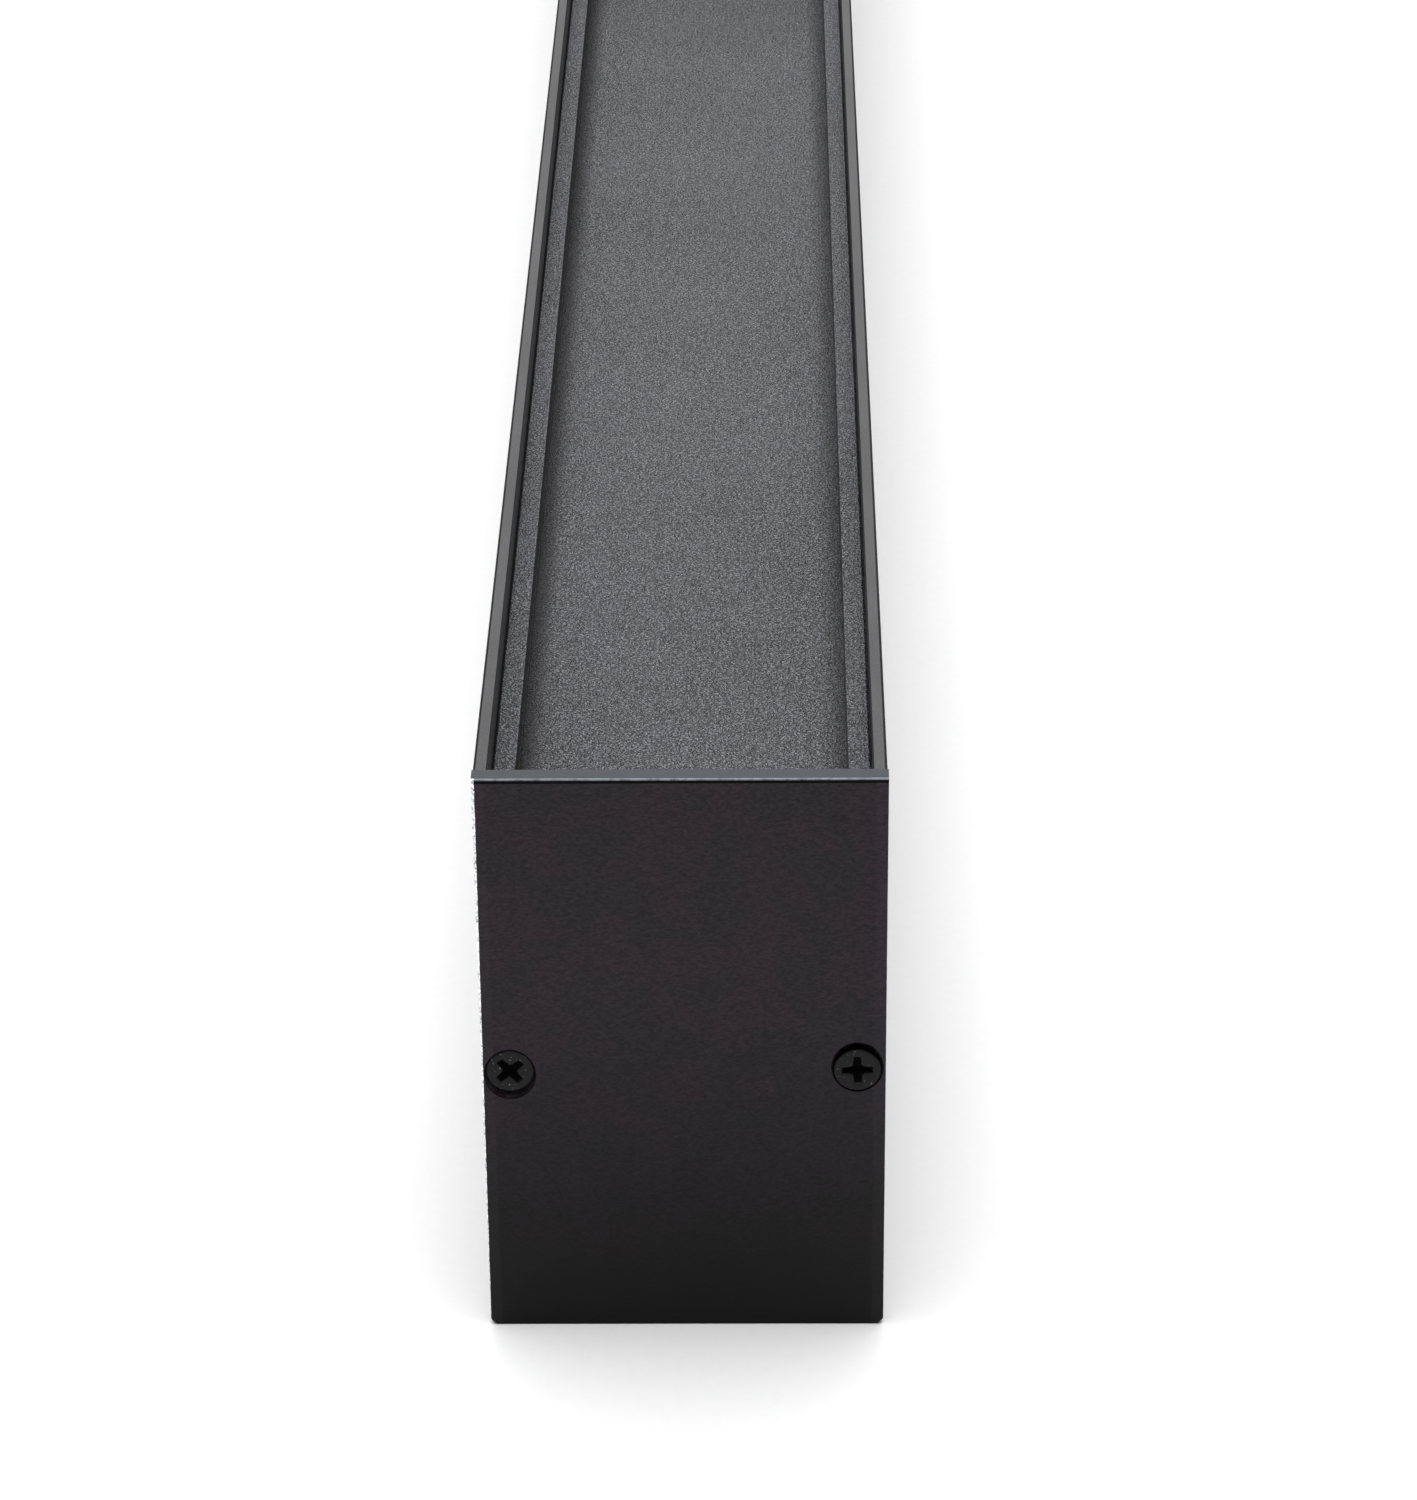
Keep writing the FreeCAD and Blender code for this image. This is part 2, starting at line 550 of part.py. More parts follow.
def driver_heatsink():
    """A plate with fins, standing on the driver board beside the transformer."""
    length, thickness, height = SINK_PLATE
    x0 = transformer_x() + CORE[0] / 2 + 5
    fin_thickness, fin_depth = FIN
    y = -DRIVER_WIDTH / 4
    z0, z1 = DRIVER_BOARD_TOP, DRIVER_BOARD_TOP + height
    pieces = [box(x0, x0 + length / 2, y, y + thickness, z0, z1)]
    step = (length / 2 - fin_thickness) / (FIN_COUNT - 1)
    for i in range(FIN_COUNT):
        x = x0 + i * step
        pieces.append(box(x, x + fin_thickness, y - fin_depth, y, z0, z1))
    return join(pieces)


def driver_screws():
    return Part.makeCompound([
        pan_screw(x, y, WEB_TOP + EAR_THICKNESS, WEB_UNDER + SCREW_END_SPACE)
        for x, y in driver_screw_places()
    ])


# ---- terminal block, earth and wires

def terminal_screw_places():
    """The block's two fixing screws, in its ears."""
    y = TERMINAL_HALF + TERMINAL_EAR / 2
    return [(TERMINAL_X, -y), (TERMINAL_X, y)]


def clamp_places():
    """Two clamping screws for each way."""
    return [(TERMINAL_X + side * TERMINAL_DEPTH / 4, y) for y in TERMINAL_Y for side in (-1, 1)]


def terminal_block():
    half_x = TERMINAL_DEPTH / 2
    reach = TERMINAL_HALF + TERMINAL_EAR
    body = join([
        box(TERMINAL_X - half_x, TERMINAL_X + half_x, -TERMINAL_HALF, TERMINAL_HALF, WEB_TOP,
            WEB_TOP + TERMINAL_HEIGHT),
        box(TERMINAL_X - half_x / 2, TERMINAL_X + half_x / 2, -reach, reach, WEB_TOP,
            WEB_TOP + EAR_THICKNESS),
    ])
    cuts = [rod_x(TERMINAL_X - half_x, TERMINAL_X + half_x, y, WIRE_Z, INSERT_RADIUS) for y in TERMINAL_Y]
    cuts += [rod(x, y, WIRE_Z, WEB_TOP + TERMINAL_HEIGHT, TERMINAL_SCREW_RADIUS + FIT)
             for x, y in clamp_places()]
    cuts += [rod(x, y, WEB_TOP, WEB_TOP + EAR_THICKNESS, SCREW_HOLE) for x, y in terminal_screw_places()]
    return body.cut(cuts)


def terminal_inserts():
    """One brass tube for each way, tapped for its two clamping screws."""
    reach = TERMINAL_DEPTH / 2 - 2
    tubes = []
    for y in TERMINAL_Y:
        tube = rod_x(TERMINAL_X - reach, TERMINAL_X + reach, y, WIRE_Z, INSERT_RADIUS)
        tube = tube.cut(rod_x(TERMINAL_X - reach, TERMINAL_X + reach, y, WIRE_Z, INSERT_BORE))
        taps = [rod(x, cy, WIRE_Z, WIRE_Z + INSERT_RADIUS + 1, TERMINAL_SCREW_RADIUS)
                for x, cy in clamp_places() if cy == y]
        tubes.append(tube.cut(taps))
    return Part.makeCompound(tubes)


def terminal_screws():
    screws = []
    top = WEB_TOP + TERMINAL_HEIGHT - 1.5
    for x, y in clamp_places():
        screw = rod(x, y, WIRE_Z + MAINS_WIRE, top, TERMINAL_SCREW_RADIUS)
        slot = box(x - 2, x + 2, y - 0.3, y + 0.3, top - 0.8, top + 1)
        screws.append(screw.cut(slot))
    return Part.makeCompound(screws)


def terminal_block_screws():
    return Part.makeCompound([
        pan_screw(x, y, WEB_TOP + EAR_THICKNESS, WEB_UNDER + SCREW_END_SPACE)
        for x, y in terminal_screw_places()
    ])


def earth_tag():
    """A ring tag with its crimp barrel towards the terminal block."""
    ring = rod(TAG_X, TAG_Y, WEB_TOP, WEB_TOP + TAG_THICKNESS, TAG_RADIUS)
    tail = box(TAG_X, TAG_X + TAG_RADIUS + 2, TAG_Y - 1.5, TAG_Y + 1.5, WEB_TOP, WEB_TOP + TAG_THICKNESS)
    barrel_z = WEB_TOP + MAINS_WIRE + 0.5
    barrel = rod_x(TAG_X + TAG_RADIUS + 1, TAG_X + TAG_RADIUS + 6, TAG_Y, barrel_z, MAINS_WIRE + 0.5)
    bore = rod_x(TAG_X + TAG_RADIUS + 1, TAG_X + TAG_RADIUS + 6, TAG_Y, barrel_z, MAINS_WIRE)
    tag = join([ring, tail, barrel])
    return tag.cut([bore, rod(TAG_X, TAG_Y, WEB_TOP, WEB_TOP + TAG_THICKNESS, EARTH_ROOT + FIT)])


def earth_screw():
    return pan_screw(TAG_X, TAG_Y, WEB_TOP + TAG_THICKNESS, WEB_UNDER + SCREW_END_SPACE,
                     EARTH_HEAD, EARTH_HEAD_HEIGHT, EARTH_ROOT)


def supply_wire(y):
    """From the terminal block to the driver's supply end."""
    return rod_x(DRIVER_START - DRIVER_WALL - 4, TERMINAL_X - 1, y, WIRE_Z, MAINS_WIRE)


def earth_wire():
    barrel_z = WEB_TOP + MAINS_WIRE + 0.5
    barrel_x = TAG_X + TAG_RADIUS + 6
    face = TERMINAL_X - TERMINAL_DEPTH / 2
    return bent_wire([(TERMINAL_X - 1, TERMINAL_Y[0], WIRE_Z), (face - EARTH_TURN, TERMINAL_Y[0], WIRE_Z),
                      (barrel_x + EARTH_TURN, TAG_Y, barrel_z), (barrel_x - 4, TAG_Y, barrel_z)],
                     EARTH_BEND, MAINS_WIRE)


def led_wire(side):
    """From the driver's output end, down through the lead grommet to the first connector."""
    y = side * LEAD_SPACING / 2
    return bent_wire([(DRIVER_END + DRIVER_WALL + 4, y, WIRE_Z), (LEAD_X, y, WIRE_Z),
                      (LEAD_X, y, BOARD_UNDER)], LEAD_BEND, LEAD_WIRE)


def web_screw_places():
    return board_screw_places() + driver_screw_places() + terminal_screw_places()


# ---- write every node

def nodes():
    made = {
        "housing": housing(),
        "back_tray": back_tray(),
        "end_cap_left": end_cap(-1),
        "end_cap_right": end_cap(1),
        "end_cap_screws": end_cap_screws(),
        "diffuser": diffuser(),
        "reflector": reflector(),
        "board_screws": board_screws(),
        "board_connectors": board_connectors(),
        "driver_case": driver_case(),
        "driver_cover": driver_cover(),
        "driver_board": driver_board(),
        "transformer_core": transformer_core(),
        "transformer_winding": transformer_winding(),
        "driver_capacitors": driver_capacitors(),
        "driver_heatsink": driver_heatsink(),
        "driver_screws": driver_screws(),
        "terminal_block": terminal_block(),
        "terminal_inserts": terminal_inserts(),
        "terminal_screws": terminal_screws(),
        "terminal_block_screws": terminal_block_screws(),
        "earth_tag": earth_tag(),
        "earth_screw": earth_screw(),
        "earth_wire": earth_wire(),
        "live_wire": supply_wire(TERMINAL_Y[2]),
        "neutral_wire": supply_wire(TERMINAL_Y[1]),
        "led_wire_positive": led_wire(1),
        "led_wire_negative": led_wire(-1),
        "lead_grommet": grommet(LEAD_X, WEB_UNDER, WEB_TOP, LEAD_HOLE, LEAD_GROMMET_BORE,
                                LEAD_GROMMET_LIP, LEAD_GROMMET_LIP_THICKNESS),
        "cable_grommet": grommet(0, TRAY_TOP - TRAY_FLOOR, TRAY_TOP, ENTRY_HOLE, GROMMET_BORE,
                                 GROMMET_LIP, GROMMET_LIP_THICKNESS),
        "mount_clip_left": mount_clip(-CLIP_SPACING / 2),
        "mount_clip_right": mount_clip(CLIP_SPACING / 2),
    }
    for number, x in enumerate(BOARD_X, start=1):
        made[f"led_board_{number}"] = led_board(x)
        made[f"led_chips_{number}"] = led_chips(x)
    return made


os.makedirs("parts", exist_ok=True)
for name, shape in nodes().items():
    assert shape.isValid(), name
    assert all(solid.Volume > 0 for solid in shape.Solids), name
    shape.exportStep(f"parts/{name}.step")
    print(f"{name}: {len(shape.Solids)} solid(s), {shape.Volume / 1000:.2f} cm3")
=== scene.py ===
# %% [markdown]
# # A vanity light bar, dressed for the camera
#
# The bar is a long black aluminium extrusion with an opal light side, a flat plate screwed on each end, and
# a mounting channel along its back. Every piece, size and place comes in as a fixed frame. This script gives
# the pieces their looks: it rebuilds those whose small shapes matter, such as rounded edges and cross
# recesses, and gives the others a better finish.

# %% Load the frame
import json
import math

import bmesh
import bpy
from mathutils import Matrix, Vector


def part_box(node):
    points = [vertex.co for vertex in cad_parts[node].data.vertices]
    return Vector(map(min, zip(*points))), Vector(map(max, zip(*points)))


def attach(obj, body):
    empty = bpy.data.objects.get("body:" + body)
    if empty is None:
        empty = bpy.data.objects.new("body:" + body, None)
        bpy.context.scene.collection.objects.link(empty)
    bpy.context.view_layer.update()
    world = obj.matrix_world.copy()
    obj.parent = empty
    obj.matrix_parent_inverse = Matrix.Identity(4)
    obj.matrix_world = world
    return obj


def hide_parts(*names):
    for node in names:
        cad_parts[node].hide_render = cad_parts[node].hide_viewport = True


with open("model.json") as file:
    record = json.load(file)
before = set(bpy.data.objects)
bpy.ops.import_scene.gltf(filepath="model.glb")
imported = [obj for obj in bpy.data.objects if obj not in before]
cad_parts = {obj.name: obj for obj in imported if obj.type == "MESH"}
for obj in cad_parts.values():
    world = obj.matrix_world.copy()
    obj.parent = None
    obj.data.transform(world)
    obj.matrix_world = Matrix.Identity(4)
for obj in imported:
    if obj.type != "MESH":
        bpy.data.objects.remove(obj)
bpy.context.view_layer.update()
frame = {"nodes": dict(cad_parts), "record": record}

MM = 0.001
scene = bpy.context.scene

# %% [markdown]
# ## Places that everything else is measured from
#
# The bar's overall sizes and the places of its pieces are read from the boxes of the design's own nodes, so
# they stay right when the design changes. A size that no box tells, such as a screw head's radius, is typed
# once. X runs along the bar, Y across it, and Z points out of the mounting channel, towards the wall.

# %% Read the main places
CAP_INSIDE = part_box("housing")[1].x
CAP_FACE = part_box("end_cap_right")[1].x
HALF_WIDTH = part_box("housing")[1].y
CAP_HALF_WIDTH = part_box("end_cap_right")[1].y
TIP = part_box("housing")[1].z
RIM_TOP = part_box("back_tray")[1].z
TRAY_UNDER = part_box("back_tray")[0].z
HEAD_RADIUS = 2.95 * MM
SCREW_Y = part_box("end_cap_screws")[1].y - HEAD_RADIUS
SCREW_Z = (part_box("end_cap_screws")[0].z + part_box("end_cap_screws")[1].z) / 2
HEAD_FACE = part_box("end_cap_screws")[1].x
RIM_FACE = 20.5 * MM
print(f"cap face {CAP_FACE / MM:.1f}, tips {TIP / MM:.1f}, screws {SCREW_Y / MM:.2f}, {SCREW_Z / MM:.2f} mm")

# %% [markdown]
# ## The camera
#
# The bar is seen from just in front of one end plate, from above, with a long lens, so that the channel
# runs away with little convergence. The camera is described as a photographer would: how far it stands in
# front of the plate and above the wall side, and how it is turned.

# %% Set up the camera
CAMERA_IN_FRONT = 491.78 * MM
CAMERA_ABOVE = 275.70 * MM
CAMERA_ASIDE = 10.88 * MM
CAMERA_YAW = math.radians(-0.860)
CAMERA_PITCH = math.radians(28.915)
CAMERA_ROLL = math.radians(-0.583)
LENS = 112.85


def linked(name, data):
    """A new object with this data, linked to the scene."""
    made = bpy.data.objects.new(name, data)
    scene.collection.objects.link(made)
    return made


def camera_matrix():
    """The camera's own axes as columns, and its place."""
    yaw, pitch, roll = CAMERA_YAW, CAMERA_PITCH, CAMERA_ROLL
    ahead = Vector((-math.cos(yaw) * math.cos(pitch), math.sin(yaw) * math.cos(pitch), -math.sin(pitch)))
    level = Vector((math.sin(yaw), math.cos(yaw), 0))
    upright = level.cross(ahead)
    right = level * math.cos(roll) + upright * math.sin(roll)
    up = upright * math.cos(roll) - level * math.sin(roll)
    turned = Matrix((right, up, -ahead)).transposed().to_4x4()
    return Matrix.Translation((CAP_FACE + CAMERA_IN_FRONT, CAMERA_ASIDE, TIP + CAMERA_ABOVE)) @ turned


camera = linked("camera", bpy.data.cameras.new("camera"))
camera.data.lens = LENS
camera.matrix_world = camera_matrix()
scene.camera = camera
scene.view_settings.view_transform = "Standard"
print("camera at", [round(c, 4) for c in camera.location])

# %% [markdown]
# ## Floor and light
#
# Black objects show what they reflect, so the room matters as much as the paint. The bar stands on a pale
# floor with one large soft lamp overhead. The room is bright above and behind the bar, and dim at its sides
# and on the viewer's side, which draws thin dark lines along its edges.

# %% Build the floor, the room and the lamp
FLOOR_HALF = 20.0


def mesh_object(name, bm):
    """A new object from a finished bmesh, linked to the scene."""
    mesh = bpy.data.meshes.new(name)
    bm.to_mesh(mesh)
    bm.free()
    return linked(name, mesh)


ground = bmesh.new()
bmesh.ops.create_grid(ground, x_segments=1, y_segments=1, size=FLOOR_HALF)
floor = mesh_object("floor", ground)

ROOM_BRIGHT, ROOM_DIM = 1.15, 0.15
SKY_LEAN = Vector((-0.62, 0.0, 0.78)).normalized()
SKY_LOW, SKY_HIGH = 0.25, 0.70
SIDE_NEAR, SIDE_FAR = 0.22, 0.55
scene.world = bpy.data.worlds.new("room")
scene.world.use_nodes = True

LAMP_SIZE = 1.8
LAMP_POWER = 40.0
LAMP_PLACE = Vector((0.35, -0.05, 1.6))
LAMP_AIM = Vector((0.4, 0, 0))
lamp = linked("lamp", bpy.data.lights.new("lamp", "AREA"))
lamp.data.size = LAMP_SIZE
lamp.data.energy = LAMP_POWER
lamp.location = LAMP_PLACE
lamp.rotation_euler = (LAMP_AIM - LAMP_PLACE).to_track_quat("-Z", "Y").to_euler()
print("lamp", LAMP_POWER, "W over", LAMP_SIZE, "m")

# %% [markdown]
# ## Writing node trees as sums
#
# A finish is a small program made of nodes. Wiring each Math node by hand hides what it computes, so a wire
# here is a Python object, and adding or multiplying two wires adds the Math node that does it. One method
# adds any other node, from its kind, its settings and the values or wires of its sockets.

# %% Wires and webs
class Wire:
    """A node's output. Sums, products and comparisons with it add their Math nodes."""

    def __init__(self, web, socket):
        self.web = web
        self.socket = socket

    def maths(self, operation, *values):
        return self.web.node("ShaderNodeMath", {"operation": operation}, dict(enumerate(values)))

    def __add__(self, other):
        return self.maths("ADD", self, other)

    def __sub__(self, other):
        return self.maths("SUBTRACT", self, other)

    def __rsub__(self, other):
        return self.maths("SUBTRACT", other, self)

    def __mul__(self, other):
        return self.maths("MULTIPLY", self, other)

    def __truediv__(self, other):
        return self.maths("DIVIDE", self, other)

    def __gt__(self, other):
        return self.maths("GREATER_THAN", self, other)

    def __lt__(self, other):
        return self.maths("LESS_THAN", self, other)

    def __abs__(self):
        return self.maths("ABSOLUTE", self)

    __radd__ = __add__
    __rmul__ = __mul__

    def twin(self, out):
        """Another output of the same node."""
        return Wire(self.web, self.socket.node.outputs[out])

    def rise(self, low, high):
        """0 below low, 1 above high, and smooth between them; it falls where high is the smaller."""
        return self.web.node("ShaderNodeMapRange", {"interpolation_type": "SMOOTHSTEP"},
                             {"Value": self, "From Min": low, "From Max": high})


class Web:
    """A node tree, and the one method that adds any node to it."""

    def __init__(self, tree):
        self.tree = tree

    def node(self, kind, settings=None, sockets=None, out=0):
        made = self.tree.nodes.new(kind)
        for name, value in (settings or {}).items():
            setattr(made, name, value)
        self.plug(made, sockets or {})
        return Wire(self, made.outputs[out])

    def plug(self, node, sockets):
        """Sets each socket to a value, a wire, or several wires where it takes more than one."""
        for key, value in sockets.items():
            wires = value if isinstance(value, list) else [value]
            for wire in wires:
                if isinstance(wire, Wire):
                    self.tree.links.new(wire.socket, node.inputs[key])
                else:
                    node.inputs[key].default_value = wire


# %% [markdown]
# The room is the first tree. Its light comes from a bright part above and behind the bar. It falls off
# towards the viewer's side, by the angle between a direction and the middle of the bright part, and towards
# both sides.

# %% Light the room
room = Web(scene.world.node_tree)
look = room.node("ShaderNodeTexCoord")
facing = room.node("ShaderNodeVectorMath", {"operation": "DOT_PRODUCT"}, {0: look, 1: SKY_LEAN}, "Value")
aside = abs(room.node("ShaderNodeSeparateXYZ", {}, {0: look}, "Y"))
glow = facing.rise(SKY_LOW, SKY_HIGH) * aside.rise(SIDE_FAR, SIDE_NEAR) * (ROOM_BRIGHT - ROOM_DIM) + ROOM_DIM
room.plug(room.tree.nodes["Background"], {"Color": (1, 1, 1, 1), "Strength": glow})

# %% [markdown]
# ## What every finish shares
#
# Each finish starts from a principled shader. Its patterns read the piece's own Object coordinates in
# metres, so a grain of 0.4 mm is 0.4 mm on every piece. Heights for the bump are in metres as well, with
# the bump's distance at 1, which keeps the relief of a coat believable.

# %% The finish class
MIX_FACTOR, MIX_FIRST, MIX_SECOND, MIX_RESULT = 0, 6, 7, 2
finishes = {}


class Finish(Web):
    """One material: a principled shader and the web of nodes that feeds it."""

    def __init__(self, name):
        self.material = bpy.data.materials.new(name)
        self.material.use_nodes = True
        super().__init__(self.material.node_tree)
        self.shader = self.tree.nodes["Principled BSDF"]
        self.place = self.node("ShaderNodeTexCoord", out="Object")
        finishes[name] = self

    def axes(self):
        """The place's X, Y and Z, each as a wire."""
        along = self.node("ShaderNodeSeparateXYZ", {}, {"Vector": self.place})
        return [along.twin(axis) for axis in "XYZ"]

    def stretched(self, x, y, z):
        """The place with each axis scaled, for grain that runs one way."""
        return self.node("ShaderNodeVectorMath", {"operation": "MULTIPLY"}, {0: self.place, 1: (x, y, z)})

    def noise(self, size, detail=2.0, roughness=0.5, place=None):
        """Soft lumps of about this size in metres, around 0.5."""
        return self.node("ShaderNodeTexNoise", {}, {
            "Vector": place or self.place, "Scale": 1 / size, "Detail": detail, "Roughness": roughness})

    def specks(self, spacing, radius, share):
        """1 inside small round specks, which stand on this share of the cells."""
        near = self.node("ShaderNodeTexVoronoi", {}, {"Vector": self.place, "Scale": 1 / spacing})
        chance = self.node("ShaderNodeSeparateColor", {}, {"Color": near.twin("Color")})
        return near.rise(radius / spacing, 0.6 * radius / spacing) * (chance < share)

    def colour(self, factor, first, second):
        """From the first colour to the second; each is a colour or a wire."""
        pair = [c if isinstance(c, Wire) else (*c, 1.0) for c in (first, second)]
        return self.node("ShaderNodeMix", {"data_type": "RGBA"},
                         {MIX_FACTOR: factor, MIX_FIRST: pair[0], MIX_SECOND: pair[1]}, MIX_RESULT)

    def bump(self, height):
        return self.node("ShaderNodeBump", {}, {"Strength": 1.0, "Distance": 1.0, "Height": height})

    def surface(self, **sockets):
        """Sets the shader's sockets: Base_Color stands for Base Color."""
        named = {key.replace("_", " "): value for key, value in sockets.items()}
        for key in ("Base Color", "Emission Color"):
            if key in named and not isinstance(named[key], Wire):
                named[key] = (*named[key], 1.0)
        self.plug(self.shader, named)


# %% [markdown]
# ## Sand-textured powder coat
#
# The tray wears a coarse powder coat that melts into tiny worm-like ridges, about a third of a millimetre
# apart, with pits between them. A noise folded about its middle gives the ridges, where plain noise would
# only give bumps, and a finer noise breaks them into grains. The crests are painted lighter and the troughs
# black, a painted shade on the grain. A few pale grains and a faint drift in tone keep it from looking
# printed. Beside the rims the coat is painted darker and duller, a painted shade that is deeper beside the
# -Y rim.

# %% Tray finish
def sand_coat():
    finish = Finish("tray_black")
    _, y, z = finish.axes()
    folded = abs(finish.noise(0.52 * MM, 1.0) * 2 - 1)
    ridges = folded.rise(0.01, 0.18)
    grains = finish.noise(0.25 * MM, 0.0).rise(0.38, 0.62)
    height = ridges * (0.12 * MM) + grains * (0.13 * MM)
    drift = finish.noise(38 * MM, 3.0).rise(0.35, 0.65)
    # painted shade on the grain: the troughs are painted black and the crests lighter, on top of the coat's
    # own tone
    painted_grain_shading = ridges * (grains * 0.75 + 0.25)
    tone = finish.colour(painted_grain_shading * 0.93 + drift * 0.07, (0.0, 0.0, 0.0), (0.155, 0.159, 0.177))
    pale = finish.specks(1.6 * MM, 0.20 * MM, 0.10)
    tone = finish.colour(pale * 0.5, tone, (0.40, 0.40, 0.40))
    # painted shade: the coat is darkened and made duller within a few millimetres of each rim, more beside
    # the -Y rim
    below_rim = z.rise(RIM_TOP - 0.1 * MM, RIM_TOP - 0.3 * MM)
    painted_rim_shade = below_rim * (RIM_FACE - abs(y)).rise(3.6 * MM, 0) * (0.82 - 0.34 * (y > 0))
    finish.surface(
        Base_Color=finish.colour(painted_rim_shade, tone, (0.004, 0.002, 0.004)),
        Roughness=0.30 + grains * 0.15 + painted_rim_shade * 0.40, IOR=1.5, Normal=finish.bump(height))


sand_coat()

# %% [markdown]
# ## Satin coat on the extrusion
#
# The housing's coat is smoother: a satin black with a very fine orange peel, and hardly visible lines that
# the die left, a noise stretched along the bar. A thin dark line is painted along the outer edge of each
# wall tip, which is made rough there too: a painted shade along the bar.

# %% Housing finish
def satin_coat():
    finish = Finish("housing_black")
    peel = finish.noise(0.30 * MM, 1.0)
    die_lines = finish.noise(0.5 * MM, 2.0, place=finish.stretched(0.01, 1, 1))
    height = peel * (0.022 * MM) + die_lines * (0.004 * MM)
    drift = finish.noise(30 * MM, 3.0).rise(0.35, 0.65)
    mottle = drift * 0.4 + peel.rise(0.3, 0.7) * 0.6
    tone = finish.colour(mottle, (0.022, 0.021, 0.023), (0.048, 0.047, 0.050))
    dust = finish.specks(3.5 * MM, 0.10 * MM, 0.12)
    tone = finish.colour(dust * 0.5, tone, (0.35, 0.34, 0.33))
    _, y, z = finish.axes()
    # painted shade: a dark, rough line along the outer edge of each wall tip
    outer_edge = abs(y).rise(HALF_WIDTH - 0.36 * MM, HALF_WIDTH - 0.26 * MM)
    painted_dark_line = outer_edge * z.rise(TIP - 0.8 * MM, TIP - 0.4 * MM)
    finish.surface(
        Base_Color=finish.colour(painted_dark_line, tone, (0.002, 0.002, 0.002)),
        Roughness=0.38 + peel * 0.1 + painted_dark_line * 0.6, IOR=1.5, Normal=finish.bump(height))


satin_coat()

# %% [markdown]
# ## End plate: a flatter, warmer black with worn edges
#
# The plates are cut from sheet and coated apart from the extrusion, so their black is deeper and slightly
# warm; towards the light side it is painted darker still, a painted shade. Handling shows first on edges,
# where a coat is thin. One long edge has lost its coat in a strip that narrows from the wall side to the
# light side, and along the upper front edge a grey band is a painted highlight over some edge wear. Both are
# masks on the distance from the edge, with a noise that makes their border ragged. The plate's top is painted
# lighter, a painted highlight, and a band just below the top edge is painted black, a painted shade. Tiny
# pits and specks of dust finish the flat face.

# %% End plate finish
def plate_coat():
    finish = Finish("cap_black")
    x, y, z = finish.axes()
    ragged = finish.noise(0.6 * MM, 3.0, 0.6) * 2 - 1
    from_top = TIP - z
    from_face = CAP_FACE - abs(x)
    blotches = finish.noise(7 * MM, 4.0, 0.6).rise(0.38, 0.62)
    fresh = finish.colour(blotches, (0.0280, 0.0158, 0.0252), (0.0210, 0.0174, 0.0230))
    crumbs = finish.noise(0.34 * MM, 1.0, place=finish.stretched(1, 0.6, 1.2)).rise(0.25, 0.75)
    fresh = finish.colour(crumbs * 0.65 + 0.35, (0.0, 0.0, 0.0), fresh)
    # painted shade: the coat is painted darker towards the bottom, the light side
    tone = finish.colour(z.rise(-0.05 * TIP, 0.72 * TIP), (0.0002, 0.0001, 0.0002), fresh)
    # painted highlight: the top face and the top edge are painted a lighter grey
    painted_top_light = from_top.rise(0.12 * MM, 0.04 * MM)
    tone = finish.colour(painted_top_light, tone, (0.050, 0.052, 0.057))
    front = from_face.rise(0.36 * MM, 0.30 * MM)
    # painted highlight along the upper front edge, partly edge wear, broken up by noise patches
    worn_and_painted_highlight = (from_top + ragged * (0.03 * MM)).rise(0.20 * MM, 0.12 * MM) * front
    patches = finish.noise(1.1 * MM, 3.0, 0.7).rise(0.34, 0.60) * 0.6 + 0.4
    tone = finish.colour(worn_and_painted_highlight * patches, tone, (0.19, 0.21, 0.25))
    margin = (CAP_HALF_WIDTH - abs(y)).rise(1.7 * MM, 1.3 * MM)
    tone = finish.colour(margin * (1 - painted_top_light) * 0.10, tone, (0.05, 0.05, 0.05))
    # painted shade: a black, rough band just below the top edge, under the painted highlight
    painted_dark_line = from_top.rise(0.16 * MM, 0.22 * MM) * from_top.rise(0.60 * MM, 0.50 * MM)
    tone = finish.colour(painted_dark_line, tone, (0.0, 0.0, 0.0))
    pits = finish.specks(2.2 * MM, 0.15 * MM, 0.35)
    dust = finish.specks(4.2 * MM, 0.09 * MM, 0.10)
    tone = finish.colour(pits * 0.9, tone, (0.0, 0.0, 0.0))
    tone = finish.colour(dust * 0.6, tone, (0.30, 0.29, 0.28))
    strip = z * 0.0042 + 0.05 * MM + ragged * (0.07 * MM)
    gaps = 1 - finish.noise(0.5 * MM, 2.0).rise(0.60, 0.66) * 0.7
    bare = (strip - (y + CAP_HALF_WIDTH)).rise(-0.02 * MM, 0.02 * MM) * (x > CAP_FACE - 0.32 * MM) * gaps
    streaks = finish.noise(0.45 * MM, 3.0, 0.7).rise(0.42, 0.66)
    metal_tone = finish.colour(streaks, (0.92, 0.92, 0.93), (0.42, 0.42, 0.44))
    peel = finish.noise(0.55 * MM, 2.0)
    height = peel * (0.010 * MM) + crumbs * (0.012 * MM) - pits * (0.04 * MM)
    finish.surface(
        Base_Color=finish.colour(bare, tone, metal_tone), Metallic=bare,
        Roughness=0.36 + blotches * 0.08 + painted_dark_line * 0.5, IOR=1.25, Normal=finish.bump(height))


plate_coat()

# %% [markdown]
# ## Metals
#
# Bare metals differ in colour, in how blurred they reflect and in the direction of their marks. One
# function makes them all: a base colour that drifts a little, fine marks, and a roughness that follows
# them. The end plates' screws are blackened, so they get a finish of their own.

